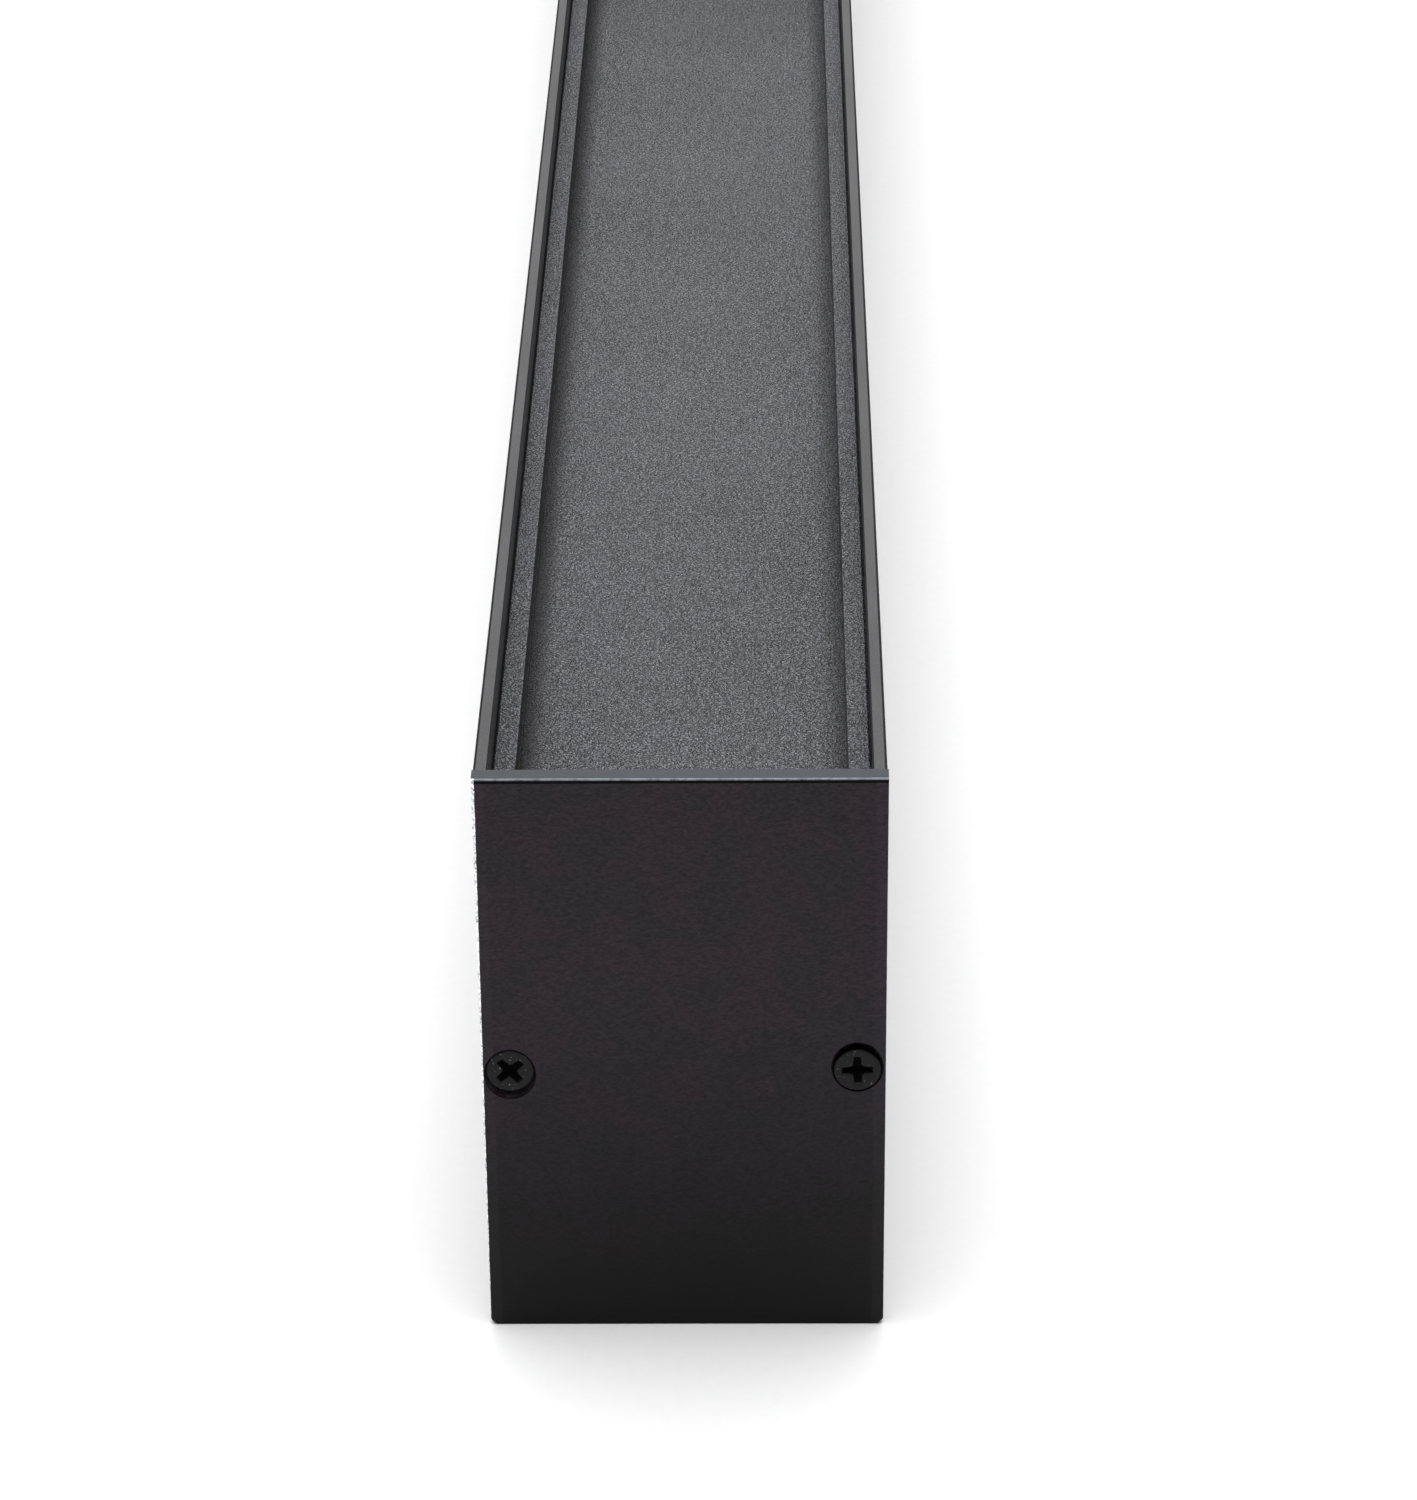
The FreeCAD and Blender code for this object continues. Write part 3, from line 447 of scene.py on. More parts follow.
# %% Metal finishes
def metal(name, base, roughness, stretch):
    """A metal whose marks run along the axis with the smallest stretch."""
    finish = Finish(name)
    marks = finish.noise(0.25 * MM, 3.0, 0.6, finish.stretched(*stretch))
    stain = finish.noise(6 * MM, 3.0).rise(0.35, 0.7)
    darker = tuple(0.78 * c for c in base)
    finish.surface(
        Base_Color=finish.colour(stain, base, darker), Metallic=1.0,
        Roughness=roughness + marks * 0.15, Normal=finish.bump(marks * (0.004 * MM)))


for name, base, roughness, stretch in (
    ("screw_steel", (0.62, 0.62, 0.60), 0.24, (1, 1, 1)),
    ("bare_aluminium", (0.78, 0.78, 0.79), 0.30, (1, 1, 0.05)),
    ("brass", (0.80, 0.62, 0.28), 0.22, (1, 1, 1)),
    ("tinned_brass", (0.72, 0.71, 0.68), 0.34, (1, 1, 1)),
    ("spring_steel", (0.44, 0.44, 0.43), 0.34, (1, 0.04, 0.04)),
):
    metal(name, base, roughness, stretch)


def black_oxide():
    """A dark layer on steel, with painted glints in small spots, and painted shade, black and dull, in the
    recess and below the head's face.
    """
    finish = Finish("screw_black")
    x, _, _ = finish.axes()
    # painted shade: black and dull everywhere more than a fraction of a millimetre below the head's face, the
    # recess included
    painted_recess_shade = (HEAD_FACE - abs(x)).rise(0.06 * MM, 0.30 * MM)
    # painted glints: pale spots of base colour on the head's face
    painted_glints = finish.noise(0.42 * MM, 3.0, 0.6).rise(0.65, 0.72) * (1 - painted_recess_shade)
    marks = finish.noise(0.18 * MM, 2.0)
    tone = finish.colour(painted_glints, (0.005, 0.005, 0.0052), (0.18, 0.18, 0.18))
    finish.surface(
        Base_Color=finish.colour(painted_recess_shade, tone, (0.0, 0.0, 0.0)), IOR=1.25,
        Roughness=0.40 + marks * 0.15 + painted_recess_shade * 0.45, Normal=finish.bump(marks * (0.003 * MM)))


black_oxide()

# %% [markdown]
# ## Plastics, sheet and rubber
#
# The moulded and coated pieces also share one function. It takes a colour, a roughness and the size of the
# grain. The opal diffuser also lets light in under its skin, which makes it look deep rather than painted.

# %% Moulded finishes
def moulded(name, base, roughness, grain):
    """A plain material with a skin of this grain, in millimetres, and a tone that drifts a little."""
    finish = Finish(name)
    skin = finish.noise(grain * MM, 2.0)
    cloud = finish.noise(12 * MM, 2.0).rise(0.3, 0.7)
    darker = tuple(0.88 * c for c in base)
    finish.surface(
        Base_Color=finish.colour(cloud, base, darker),
        Roughness=roughness + skin * 0.1, Normal=finish.bump(skin * (0.003 * MM)))


for name, base, roughness, grain in (
    ("diffuser_opal", (0.88, 0.88, 0.86), 0.30, 0.5),
    ("reflector_white", (0.88, 0.88, 0.87), 0.35, 0.5),
    ("board_white", (0.84, 0.84, 0.81), 0.32, 0.2),
    ("connector_white", (0.80, 0.79, 0.75), 0.42, 0.3),
    ("driver_plastic", (0.78, 0.78, 0.75), 0.48, 0.5),
    ("circuit_green", (0.045, 0.20, 0.09), 0.28, 0.3),
    ("ferrite", (0.055, 0.055, 0.058), 0.62, 0.25),
    ("winding_tape", (0.80, 0.62, 0.14), 0.30, 0.6),
    ("capacitor_sleeve", (0.04, 0.05, 0.10), 0.25, 0.8),
    ("terminal_plastic", (0.85, 0.85, 0.82), 0.38, 0.3),
    ("wire_live", (0.26, 0.12, 0.05), 0.40, 0.3),
    ("wire_neutral", (0.05, 0.15, 0.48), 0.40, 0.3),
    ("wire_red", (0.55, 0.04, 0.03), 0.40, 0.3),
    ("wire_black", (0.02, 0.02, 0.02), 0.42, 0.3),
    ("rubber_black", (0.018, 0.018, 0.018), 0.62, 0.35),
):
    moulded(name, base, roughness, grain)

finishes["diffuser_opal"].surface(Subsurface_Weight=0.6, Subsurface_Scale=2 * MM)


def earth_sleeve():
    """Green sleeve with a yellow stripe that winds round it."""
    finish = Finish("wire_earth")
    x, y, z = finish.axes()
    turn = finish.node("ShaderNodeMath", {"operation": "FRACT"}, {0: (x + y + z) / (5 * MM)})
    skin = finish.noise(0.3 * MM, 2.0)
    finish.surface(
        Base_Color=finish.colour(turn.rise(0.60, 0.64), (0.06, 0.34, 0.07), (0.80, 0.66, 0.06)),
        Roughness=0.38 + skin * 0.1, Normal=finish.bump(skin * (0.003 * MM)))


earth_sleeve()


def chip_package():
    """White package round a yellow lens; the chips' own attribute says which faces are lens."""
    finish = Finish("led_chip")
    lens = finish.node("ShaderNodeAttribute", {"attribute_name": "lens"}, out="Fac")
    grain = finish.noise(0.12 * MM, 2.0)
    phosphor = finish.colour(grain, (0.86, 0.66, 0.10), (0.95, 0.80, 0.22))
    finish.surface(
        Base_Color=finish.colour(lens, (0.86, 0.86, 0.83), phosphor),
        Roughness=0.5 - lens * 0.28, Normal=finish.bump(grain * (0.004 * MM)))


chip_package()

# %% [markdown]
# The floor is matt paper with a faint fibre, so that nothing on it competes with the bar and its soft
# shadow.

# %% Floor finish
def floor_paper():
    finish = Finish("floor_paper")
    fibre = finish.noise(1.5 * MM, 3.0)
    finish.surface(
        Base_Color=finish.colour(fibre, (0.86, 0.86, 0.86), (0.90, 0.90, 0.90)), Roughness=0.9,
        Normal=finish.bump(fibre * (0.01 * MM)))


floor_paper()
floor.data.materials.append(finishes["floor_paper"].material)
print("finishes", len(finishes))

# %% [markdown]
# ## Every design node gets its finish
#
# The record says which finish each node takes. Nodes whose shape is already right, such as the driver, the
# wires and the boards, keep their mesh and only change the material in their slots.

# %% Dress the design's nodes
slot_of = {part["node"]: part["material_slot"] for part in frame["record"]["subparts"]}
for node, slot in slot_of.items():
    mesh = frame["nodes"][node].data
    for index in range(max(1, len(mesh.materials))):
        if index < len(mesh.materials):
            mesh.materials[index] = finishes[slot].material
        else:
            mesh.materials.append(finishes[slot].material)
print("dressed", len(slot_of), "nodes")

# %% [markdown]
# ## From a node recipe to a plain mesh
#
# Pieces that repeat or follow a rule are made by Geometry Nodes. A recipe is a node tree with named inputs
# that ends by realizing its instances and setting its material. The result is turned into a plain mesh, so
# that a piece carries no live recipe. Its normals are weighted by face area first, so that flat faces stay
# flat next to their rounded corners.

# %% Recipes and plain meshes
SHARP = math.radians(34)


class Recipe(Web):
    """A Geometry Nodes tree with named inputs."""

    def __init__(self, name, inputs):
        super().__init__(bpy.data.node_groups.new(name, "GeometryNodeTree"))
        face = self.tree.interface
        face.new_socket(name="Geometry", in_out="INPUT", socket_type="NodeSocketGeometry")
        for label, kind in inputs.items():
            face.new_socket(name=label, in_out="INPUT", socket_type="NodeSocket" + kind)
        face.new_socket(name="Material", in_out="INPUT", socket_type="NodeSocketMaterial")
        face.new_socket(name="Geometry", in_out="OUTPUT", socket_type="NodeSocketGeometry")
        self.start = self.tree.nodes.new("NodeGroupInput")

    def given(self, name):
        return Wire(self, self.start.outputs[name])

    def serve(self, geometry):
        """Ends the recipe: real geometry, with its material."""
        real = self.node("GeometryNodeRealizeInstances", {}, {"Geometry": geometry})
        clad = self.node("GeometryNodeSetMaterial", {}, {
            "Geometry": real, "Material": self.given("Material")})
        self.tree.links.new(clad.socket, self.tree.nodes.new("NodeGroupOutput").inputs[0])
        return self

    def cook(self, source, **values):
        """Puts the recipe on an object, with each input set by its socket's identifier."""
        modifier = source.modifiers.new(self.tree.name, "NODES")
        modifier.node_group = self.tree
        for item in self.tree.interface.items_tree:
            key = item.name.replace(" ", "_")
            if item.in_out == "INPUT" and key in values:
                modifier[item.identifier] = values[key]
        return source


def evaluated_mesh(source):
    return bpy.data.meshes.new_from_object(source.evaluated_get(bpy.context.evaluated_depsgraph_get()))


def plain_piece(source, name, soften=0.0):
    """A plain mesh object from a source with live modifiers. The source is removed."""
    if soften:
        bevel = source.modifiers.new("soften", "BEVEL")
        bevel.width = soften
        bevel.segments = 2
        bevel.limit_method = "ANGLE"
        bevel.angle_limit = SHARP
    rough = linked(name, evaluated_mesh(source))
    bpy.data.objects.remove(source)
    rough.data.shade_smooth()
    rough.data.set_sharp_from_angle(angle=SHARP)
    weighted = rough.modifiers.new("weighted", "WEIGHTED_NORMAL")
    weighted.keep_sharp = True
    mesh = evaluated_mesh(rough)
    rough.modifiers.clear()
    rough.data = mesh
    rough.data.name = name
    return rough


def settle(blank):
    """Makes what the object's modifiers give its own mesh."""
    bpy.context.view_layer.update()
    blank.data = evaluated_mesh(blank)
    blank.modifiers.clear()


def cut_away(blank, cutter):
    """Takes the cutter's shape out of the blank. The cutter is removed."""
    cut = blank.modifiers.new("cut", "BOOLEAN")
    cut.object = cutter
    cut.operation = "DIFFERENCE"
    cut.solver = "EXACT"
    settle(blank)
    bpy.data.objects.remove(cutter)


def report(piece):
    """Prints a piece's size, and stops where its mesh is open or inside out."""
    bm = bmesh.new()
    bm.from_mesh(piece.data)
    open_edges = sum(not edge.is_manifold for edge in bm.edges)
    volume = bm.calc_volume(signed=True)
    print(f"{piece.name}: {len(bm.verts)} points, {volume / MM ** 3 / 1000:.2f} cm3, {open_edges} open edges")
    bm.free()
    assert open_edges == 0 and volume > 0, piece.name


def stand_for(piece, *nodes):
    """The piece rides with the body of the nodes it replaces, which are hidden, and is reported."""
    body = next(b for b, members in frame["record"]["behaviour"]["bodies"].items() if nodes[0] in members)
    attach(piece, body)
    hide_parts(*nodes)
    report(piece)


# %% [markdown]
# ## One recipe for everything that is extruded or bent from strip
#
# The housing, the tray, the diffuser and the spring clips each have a section that stays the same along X.
# So each is a closed curve of a few corners, and one recipe makes the piece from it. It rounds every corner
# with the radius that the corner carries, fills the outline, extrudes it, closes the start and drills the
# holes. Drawn by hand, the same outline would need hundreds of points.

# %% The extrusion recipe
def extrusion_recipe():
    recipe = Recipe("extrusion", {
        "Start": "Float", "Length": "Float", "Corner Steps": "Int", "Drills": "Object"})
    radius = recipe.node("GeometryNodeInputRadius")
    rounded = recipe.node("GeometryNodeFilletCurve", {"mode": "POLY"}, {
        "Curve": recipe.given("Geometry"), "Count": recipe.given("Corner Steps"), "Radius": radius,
        "Limit Radius": True})
    section = recipe.node("GeometryNodeFillCurve", {"mode": "NGONS"}, {"Curve": rounded})
    pulled = recipe.node("GeometryNodeExtrudeMesh", {}, {
        "Mesh": section, "Offset Scale": recipe.given("Length"), "Individual": False})
    start_cap = recipe.node("GeometryNodeFlipFaces", {}, {"Mesh": section})
    both = recipe.node("GeometryNodeJoinGeometry", {}, {0: [pulled, start_cap]})
    closed = recipe.node("GeometryNodeMergeByDistance", {}, {"Geometry": both, "Distance": 0.001 * MM})
    along = recipe.node("ShaderNodeCombineXYZ", {}, {0: recipe.given("Start")})
    quarter = math.pi / 2
    laid = recipe.node("GeometryNodeTransform", {}, {
        "Geometry": closed, "Translation": along, "Rotation": (quarter, 0, quarter)})
    drills = recipe.node("GeometryNodeObjectInfo", {}, {"Object": recipe.given("Drills")}, "Geometry")
    drilled = recipe.node("GeometryNodeMeshBoolean", {"operation": "DIFFERENCE", "solver": "EXACT"},
                          {"Mesh 1": laid, "Mesh 2": drills})
    return recipe.serve(drilled)


extrusion = extrusion_recipe()
CORNER_STEPS = 6
DRILL_REACH = 6 * MM


def section_curve(name, corners):
    """A closed outline from corners in millimetres: y, z and the radius that rounds each."""
    curve = bpy.data.curves.new(name, "CURVE")
    spline = curve.splines.new("POLY")
    spline.points.add(len(corners) - 1)
    for point, (y, z, radius) in zip(spline.points, corners):
        point.co = (y * MM, z * MM, 0, 1)
        point.radius = radius * MM
    spline.use_cyclic_u = True
    return linked(name, curve)


def drill_set(name, holes):
    """One mesh of upright cylinders, each given by its centre, height and radius."""
    bm = bmesh.new()
    for x, y, z, height, radius in holes:
        bmesh.ops.create_cone(bm, cap_ends=True, segments=48, radius1=radius, radius2=radius, depth=height,
                              matrix=Matrix.Translation((x, y, z)))
    return mesh_object(name, bm)


def extruded(name, corners, start, end, holes=(), soften=0.0):
    """The extruded piece that stands for the node of this name."""
    values = {"Start": start, "Length": end - start, "Corner_Steps": CORNER_STEPS,
              "Material": finishes[slot_of[name]].material}
    if holes:
        values["Drills"] = drill_set(name + "_drills", holes)
    source = section_curve(name + "_section", corners)
    piece = plain_piece(extrusion.cook(source, **values), name + "_skin", soften)
    if holes:
        bpy.data.objects.remove(values["Drills"])
    stand_for(piece, name)


def full_length(name, half, holes=()):
    """A piece from end plate to end plate, whose section mirrors this +Y half."""
    mirrored = [(-y, z, radius) for y, z, radius in reversed(half)]
    extruded(name, half + mirrored, -CAP_INSIDE, CAP_INSIDE, holes)


# %% [markdown]
# ## Housing
#
# The housing is an H: two side walls and a cross web, with a screw port where each web end meets its wall.
# The ports are tubes with a slit, so that a screw can spread them. Near the wall tips a groove holds the
# tray, and near the feet a second one holds the diffuser's beads. The tips' outer edges are rounded more
# than their inner ones.

# %% Housing section
def angles(first, last, steps):
    """Evenly spaced angles from the first to the last, which are given in degrees."""
    return [math.radians(first + (last - first) * i / steps) for i in range(steps + 1)]


def arc(y, z, radius, first, last, steps=8):
    """Points on a circle about (y, z), from one angle to another in degrees, as sharp corners."""
    return [(y + radius * math.cos(a), z + radius * math.sin(a), 0.0) for a in angles(first, last, steps)]


def angle_at(radius, across=None, up=None):
    """The angle, in degrees, at which a circle reaches this far across or this far up from its centre."""
    return math.degrees(math.acos(across / radius) if up is None else math.asin(up / radius))


WALL, WEB_HALF = 1.6, 1.0
PORT_BORE, PORT_OUTER, SLIT_HALF = 1.25, 2.65, 0.45
TONGUE_TOP, TONGUE_UNDER, GROOVE_END = 73.1, 72.0, 24.0
BEAD_TOP, BEAD_UNDER, BEAD_GROOVE_END = 7.4, 6.0, 23.9
TIP_ROUND, TIP_BREAK, FOOT_ROUND = 0.35, 0.05, 0.6


def housing_half():
    """The +Y half of the housing's section, in millimetres."""
    outer, tip = HALF_WIDTH / MM, TIP / MM
    inner = outer - WALL
    y, z = SCREW_Y / MM, SCREW_Z / MM
    at_web = angle_at(PORT_OUTER, up=WEB_HALF)
    at_wall = angle_at(PORT_OUTER, across=inner - y)
    at_slit = angle_at(PORT_OUTER, across=SLIT_HALF)
    bore_slit = angle_at(PORT_BORE, across=SLIT_HALF)
    lower = arc(y, z, PORT_OUTER, 180 + at_web, 360 - at_wall)
    light_side = [
        (inner, BEAD_TOP, 0.1), (BEAD_GROOVE_END, BEAD_TOP, 0.1), (BEAD_GROOVE_END, BEAD_UNDER, 0.1),
        (inner, BEAD_UNDER, 0.1), (inner, 0, 0.15), (outer, 0, FOOT_ROUND)]
    wall_side = [
        (outer, tip, TIP_ROUND), (inner, tip, TIP_BREAK),
        (inner, TONGUE_TOP, 0.1), (GROOVE_END, TONGUE_TOP, 0.1), (GROOVE_END, TONGUE_UNDER, 0.1),
        (inner, TONGUE_UNDER, 0.1)]
    port = (arc(y, z, PORT_OUTER, at_wall, at_slit, 3) + arc(y, z, PORT_BORE, bore_slit, -180 - bore_slit, 16)
            + arc(y, z, PORT_OUTER, 180 - at_slit, 180 - at_web, 4))
    return lower + light_side + wall_side + port


def board_screw_pair(number):
    """The two screws of a light board, on opposite sides of its centre line."""
    low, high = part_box(f"led_board_{number}")
    return [(low.x + BOARD_INSET, -BOARD_ASIDE), (high.x - BOARD_INSET, BOARD_ASIDE)]


def centre(node):
    """The middle of a node's box, across the web."""
    low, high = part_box(node)
    return (low.x + high.x) / 2, (low.y + high.y) / 2


def pair_ends(node, axis):
    """The two places of a node that holds a pair of pan-head screws, one at each end of its box."""
    places = []
    for corner, inwards in zip(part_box(node), (PAN_HEAD, -PAN_HEAD)):
        place = list(centre(node))
        place[axis] = corner[axis] + inwards
        places.append(tuple(place))
    return places


PAN_HEAD = 2.75 * MM
BOARD_INSET, BOARD_ASIDE = 26 * MM, 7 * MM
EARTH_HOLE, LEAD_HOLE = 1.65 * MM, 4.0 * MM
board_screw_places = [place for number in range(1, 5) for place in board_screw_pair(number)]
driver_screw_places = pair_ends("driver_screws", 0)
block_screw_places = pair_ends("terminal_block_screws", 1)
pilot_places = board_screw_places + driver_screw_places + block_screw_places
web_holes = [(x, y, SCREW_Z, DRILL_REACH, PORT_BORE * MM) for x, y in pilot_places]
web_holes.append((*centre("earth_screw"), SCREW_Z, DRILL_REACH, EARTH_HOLE))
web_holes.append((*centre("lead_grommet"), SCREW_Z, DRILL_REACH, LEAD_HOLE))
full_length("housing", housing_half(), web_holes)

# %% [markdown]
# ## Tray
#
# The tray is a second extrusion that slides into the housing's upper grooves. Its two rims stand beside the
# walls with a narrow slot between, and in each rim's inner face runs the undercut that a spring clip
# catches. The supply cable comes through a hole in its middle.

# %% Tray section
TRAY_FLOOR, RIM_WALL, RIM_ROUND = 1.8, 1.8, 0.1
RIM_OUTER, RIM_INNER, CATCH_DEPTH = 23.1, RIM_FACE / MM, 0.7
CATCH_UNDER, CATCH_TOP = 69.3, 71.1
ENTRY_HOLE = 6.5


def tray_half():
    """The +Y half of the tray's section, in millimetres."""
    under, rim = TRAY_UNDER / MM, RIM_TOP / MM
    tongue_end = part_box("back_tray")[1].y / MM
    return [
        (RIM_INNER + RIM_WALL, under, 0.3), (RIM_INNER + RIM_WALL, TONGUE_UNDER, 0.1),
        (tongue_end, TONGUE_UNDER, 0.1), (tongue_end, rim - 1.5, 0.1), (RIM_OUTER, rim - 1.5, 0.1),
        (RIM_OUTER, rim, RIM_ROUND), (RIM_INNER, rim, RIM_ROUND),
        (RIM_INNER, CATCH_TOP, 0.1), (RIM_INNER + CATCH_DEPTH, CATCH_TOP, 0.1),
        (RIM_INNER + CATCH_DEPTH, CATCH_UNDER, 0.1), (RIM_INNER, CATCH_UNDER, 0.1),
        (RIM_INNER, under + TRAY_FLOOR, 0.12)]


full_length("back_tray", tray_half(), [(0, 0, TRAY_UNDER, DRILL_REACH, ENTRY_HOLE * MM)])

# %% [markdown]
# ## Diffuser
#
# The diffuser is a shallow U of opal plastic. Its legs snap into the housing with a small bead, and its
# rounded outer corners catch light along the bar.

# %% Diffuser section
DIFFUSER_SHEET, DIFFUSER_LEG = 1.5, 1.2
BEAD_TIP, BEAD_START = 7.3, 6.1


def diffuser_half():
    """The +Y half of the diffuser's section, in millimetres."""
    low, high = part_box("diffuser")
    under, top, bead_end = low.z / MM, high.z / MM, high.y / MM
    outer = bead_end - 0.5
    inner = outer - DIFFUSER_LEG
    return [
        (outer, under, 0.35), (outer, BEAD_START, 0.1), (bead_end, BEAD_TIP, 0.1), (outer, BEAD_TIP, 0.05),
        (outer, top, 0.2), (inner, top, 0.2), (inner, under + DIFFUSER_SHEET, 0.4)]


full_length("diffuser", diffuser_half())

# %% [markdown]
# ## Spring clips
#
# Each clip is a strip of spring steel, bent into a flat with two legs whose toes hook under the tray's
# rims. The extrusion recipe makes it too: the strip's two faces are one outline, with a small radius inside
# every bend and a larger one outside. The cut edges are softened, as on a sheared and tumbled strip.

# %% Clip section
STRIP = 0.8
CLIP_HOLE, CLIP_DRILL = 2.25 * MM, 4 * MM
STRIP_BREAK = 0.07 * MM


def clip_side():
    """The outer face of one leg, in millimetres: y, z, its own radius and the radius of the face below it."""
    return [(13.0, TIP / MM, 1.7, 0.9), (RIM_INNER - 0.3, CATCH_TOP, 1.5, 1.5),
            (RIM_INNER + CATCH_DEPTH - 0.15, 70.2, 0.45, 0.15), (RIM_INNER - 1.0, 68.8, 0.3, 0.3)]


def strip_outline(side, thickness):
    """Both faces of a bent strip whose line runs from one end to the other, as one closed outline."""
    line = [Vector(corner[:2]) for corner in side]
    normals = [Vector((b.y - a.y, a.x - b.x)).normalized() for a, b in zip(line, line[1:])]
    face, back = [], []
    for point, corner, n, m in zip(line, side, normals[:1] + normals, normals + normals[-1:]):
        mitred = point + (n + m) * (thickness / (1 + n.dot(m)))
        face.append((point.x, point.y, corner[2]))
        back.append((mitred.x, mitred.y, corner[3]))
    return face + back[::-1]


def spring_clip(node):
    low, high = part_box(node)
    right = clip_side()
    left = [(-y, z, own, below) for y, z, own, below in reversed(right)]
    hole = [((low.x + high.x) / 2, 0, TIP, CLIP_DRILL, CLIP_HOLE)]
    extruded(node, strip_outline(left + right, STRIP), low.x, high.x, hole, STRIP_BREAK)


for node in ("mount_clip_left", "mount_clip_right"):
    spring_clip(node)

# %% [markdown]
# ## End plates
#
# An end plate is flat stock with a small rounded break round its outer face and two lower corners cut off:
# an outline, pulled to the thickness, then bevelled. The two countersinks were drilled by hand, so each is
# slightly oval and stands half a millimetre off its screw, one up and one down. That leaves the dark
# crescents beside the heads.

# %% End plates
CORNER_CUT = 0.8 * MM
EDGE_BREAK = 0.3 * MM
SINK_RADIUS = 3.25 * MM
SINK_STRAIGHT = 0.3 * MM
THROUGH_RADIUS = 1.6 * MM
DRILL_DRIFT = 0.50 * MM
DRILL_OVAL = 1.12
FAINT_BREAK = 0.4
ON_AXIS = 1e-9


def bridge(bm, rings):
    """Faces from each ring of points to the next. A ring of one point is a pole."""
    for this, following in zip(rings, rings[1:]):
        for i in range(max(len(this), len(following))):
            corners = [ring[k % len(ring)] for ring, k in
                       ((this, i), (this, i + 1), (following, i + 1), (following, i))]
            bm.faces.new(list(dict.fromkeys(corners)))


def turned_body(name, profile, segments=64, closed=False):
    """A solid of revolution about Z, from (radius, z) points: from axis to axis, or a closed ring."""
    bm = bmesh.new()
    rings = []
    for radius, z in profile:
        turns = [2 * math.pi * i / segments for i in range(segments if radius > ON_AXIS else 1)]
        rings.append([bm.verts.new((radius * math.cos(a), radius * math.sin(a), z)) for a in turns])
    bridge(bm, rings + rings[:1] if closed else rings)
    bmesh.ops.recalc_face_normals(bm, faces=bm.faces)
    return mesh_object(name, bm)


def countersink():
    """The space that a countersink and its through hole take out of a plate whose face is at z = 0."""
    above, below = 1 * MM, -4 * MM
    cone_end = -(SINK_STRAIGHT + SINK_RADIUS - THROUGH_RADIUS)
    return turned_body("countersink", [
        (0, above), (SINK_RADIUS, above), (SINK_RADIUS, -SINK_STRAIGHT), (THROUGH_RADIUS, cone_end),
        (THROUGH_RADIUS, below), (0, below)])


def facing_out(side):
    """Turns +Z to point out of the end plate at that side."""
    return Matrix.Rotation(side * math.pi / 2, 4, "Y")


def plate_blank(name, side):
    """The plate without its holes; its outer edges are rounded, most of all above and on one side."""
    low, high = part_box(name)
    outside = CAP_FACE * side
    inside = CAP_INSIDE * side
    outline = [(-high.y, low.z + CORNER_CUT), (-high.y + CORNER_CUT, low.z), (high.y - CORNER_CUT, low.z),
               (high.y, low.z + CORNER_CUT), (high.y, high.z), (-high.y, high.z)]
    bm = bmesh.new()
    back = bm.faces.new([bm.verts.new((inside, y, z)) for y, z in outline])
    pulled = bmesh.ops.extrude_face_region(bm, geom=[back], use_keep_orig=True)
    front_points = [v for v in pulled["geom"] if isinstance(v, bmesh.types.BMVert)]
    bmesh.ops.translate(bm, verts=front_points, vec=(outside - inside, 0, 0))
    bmesh.ops.recalc_face_normals(bm, faces=bm.faces)
    weight = bm.edges.layers.float.new("bevel_weight_edge")
    for edge in bm.edges:
        if all(abs(v.co.x - outside) < 1e-7 for v in edge.verts):
            middle = (edge.verts[0].co + edge.verts[1].co) / 2
            worn = middle.z > high.z - CORNER_CUT or middle.y * side < -high.y + CORNER_CUT / 4
            edge[weight] = 1.0 if worn else FAINT_BREAK
    blank = mesh_object(name + "_blank", bm)
    breaks = blank.modifiers.new("breaks", "BEVEL")
    breaks.limit_method = "WEIGHT"
    breaks.width = EDGE_BREAK
    breaks.segments = 4
    settle(blank)
    return blank


def end_plate(name, side):
    """The plate at one end, with its two countersinks."""
    blank = plate_blank(name, side)
    oval = Matrix.Diagonal((1, 1, DRILL_OVAL, 1))
    for hand in (-1, 1):
        drill = countersink()
        place = (CAP_FACE * side, hand * SCREW_Y, SCREW_Z + hand * side * DRILL_DRIFT)
        drill.data.transform(Matrix.Translation(place) @ oval @ facing_out(side))
        cut_away(blank, drill)
    plate = plain_piece(blank, name + "_skin")
    plate.data.materials.clear()
    plate.data.materials.append(finishes["cap_black"].material)
    stand_for(plate, name)


for name, side in (("end_cap_right", 1), ("end_cap_left", -1)):
    end_plate(name, side)

# %% [markdown]
# ## Screws
#
# Screws repeat, so each kind is modelled once and copied to its places by a recipe. The places are a mesh
# of loose points, and each point carries its stance, the turn that stands the screw there. Nobody lines up
# the slots of screws by hand, so each has its own turn.

# %% The screw-setting recipe
def copies(recipe, points, name, sockets):
    """Ends the recipe with the object that is given under this name, on each of the points."""
    model = recipe.node("GeometryNodeObjectInfo", {}, {
        "Object": recipe.given(name), "As Instance": True}, "Geometry")
    placed = recipe.node("GeometryNodeInstanceOnPoints", {}, {"Points": points, "Instance": model, **sockets})
    return recipe.serve(placed)


def screw_recipe():
    recipe = Recipe("set_screws", {"Screw": "Object"})
    stance = recipe.node("GeometryNodeInputNamedAttribute", {"data_type": "FLOAT_VECTOR"}, {"Name": "stance"})
    turned = recipe.node("FunctionNodeEulerToRotation", {}, {"Euler": stance})
    return copies(recipe, recipe.given("Geometry"), "Screw", {"Rotation": turned})


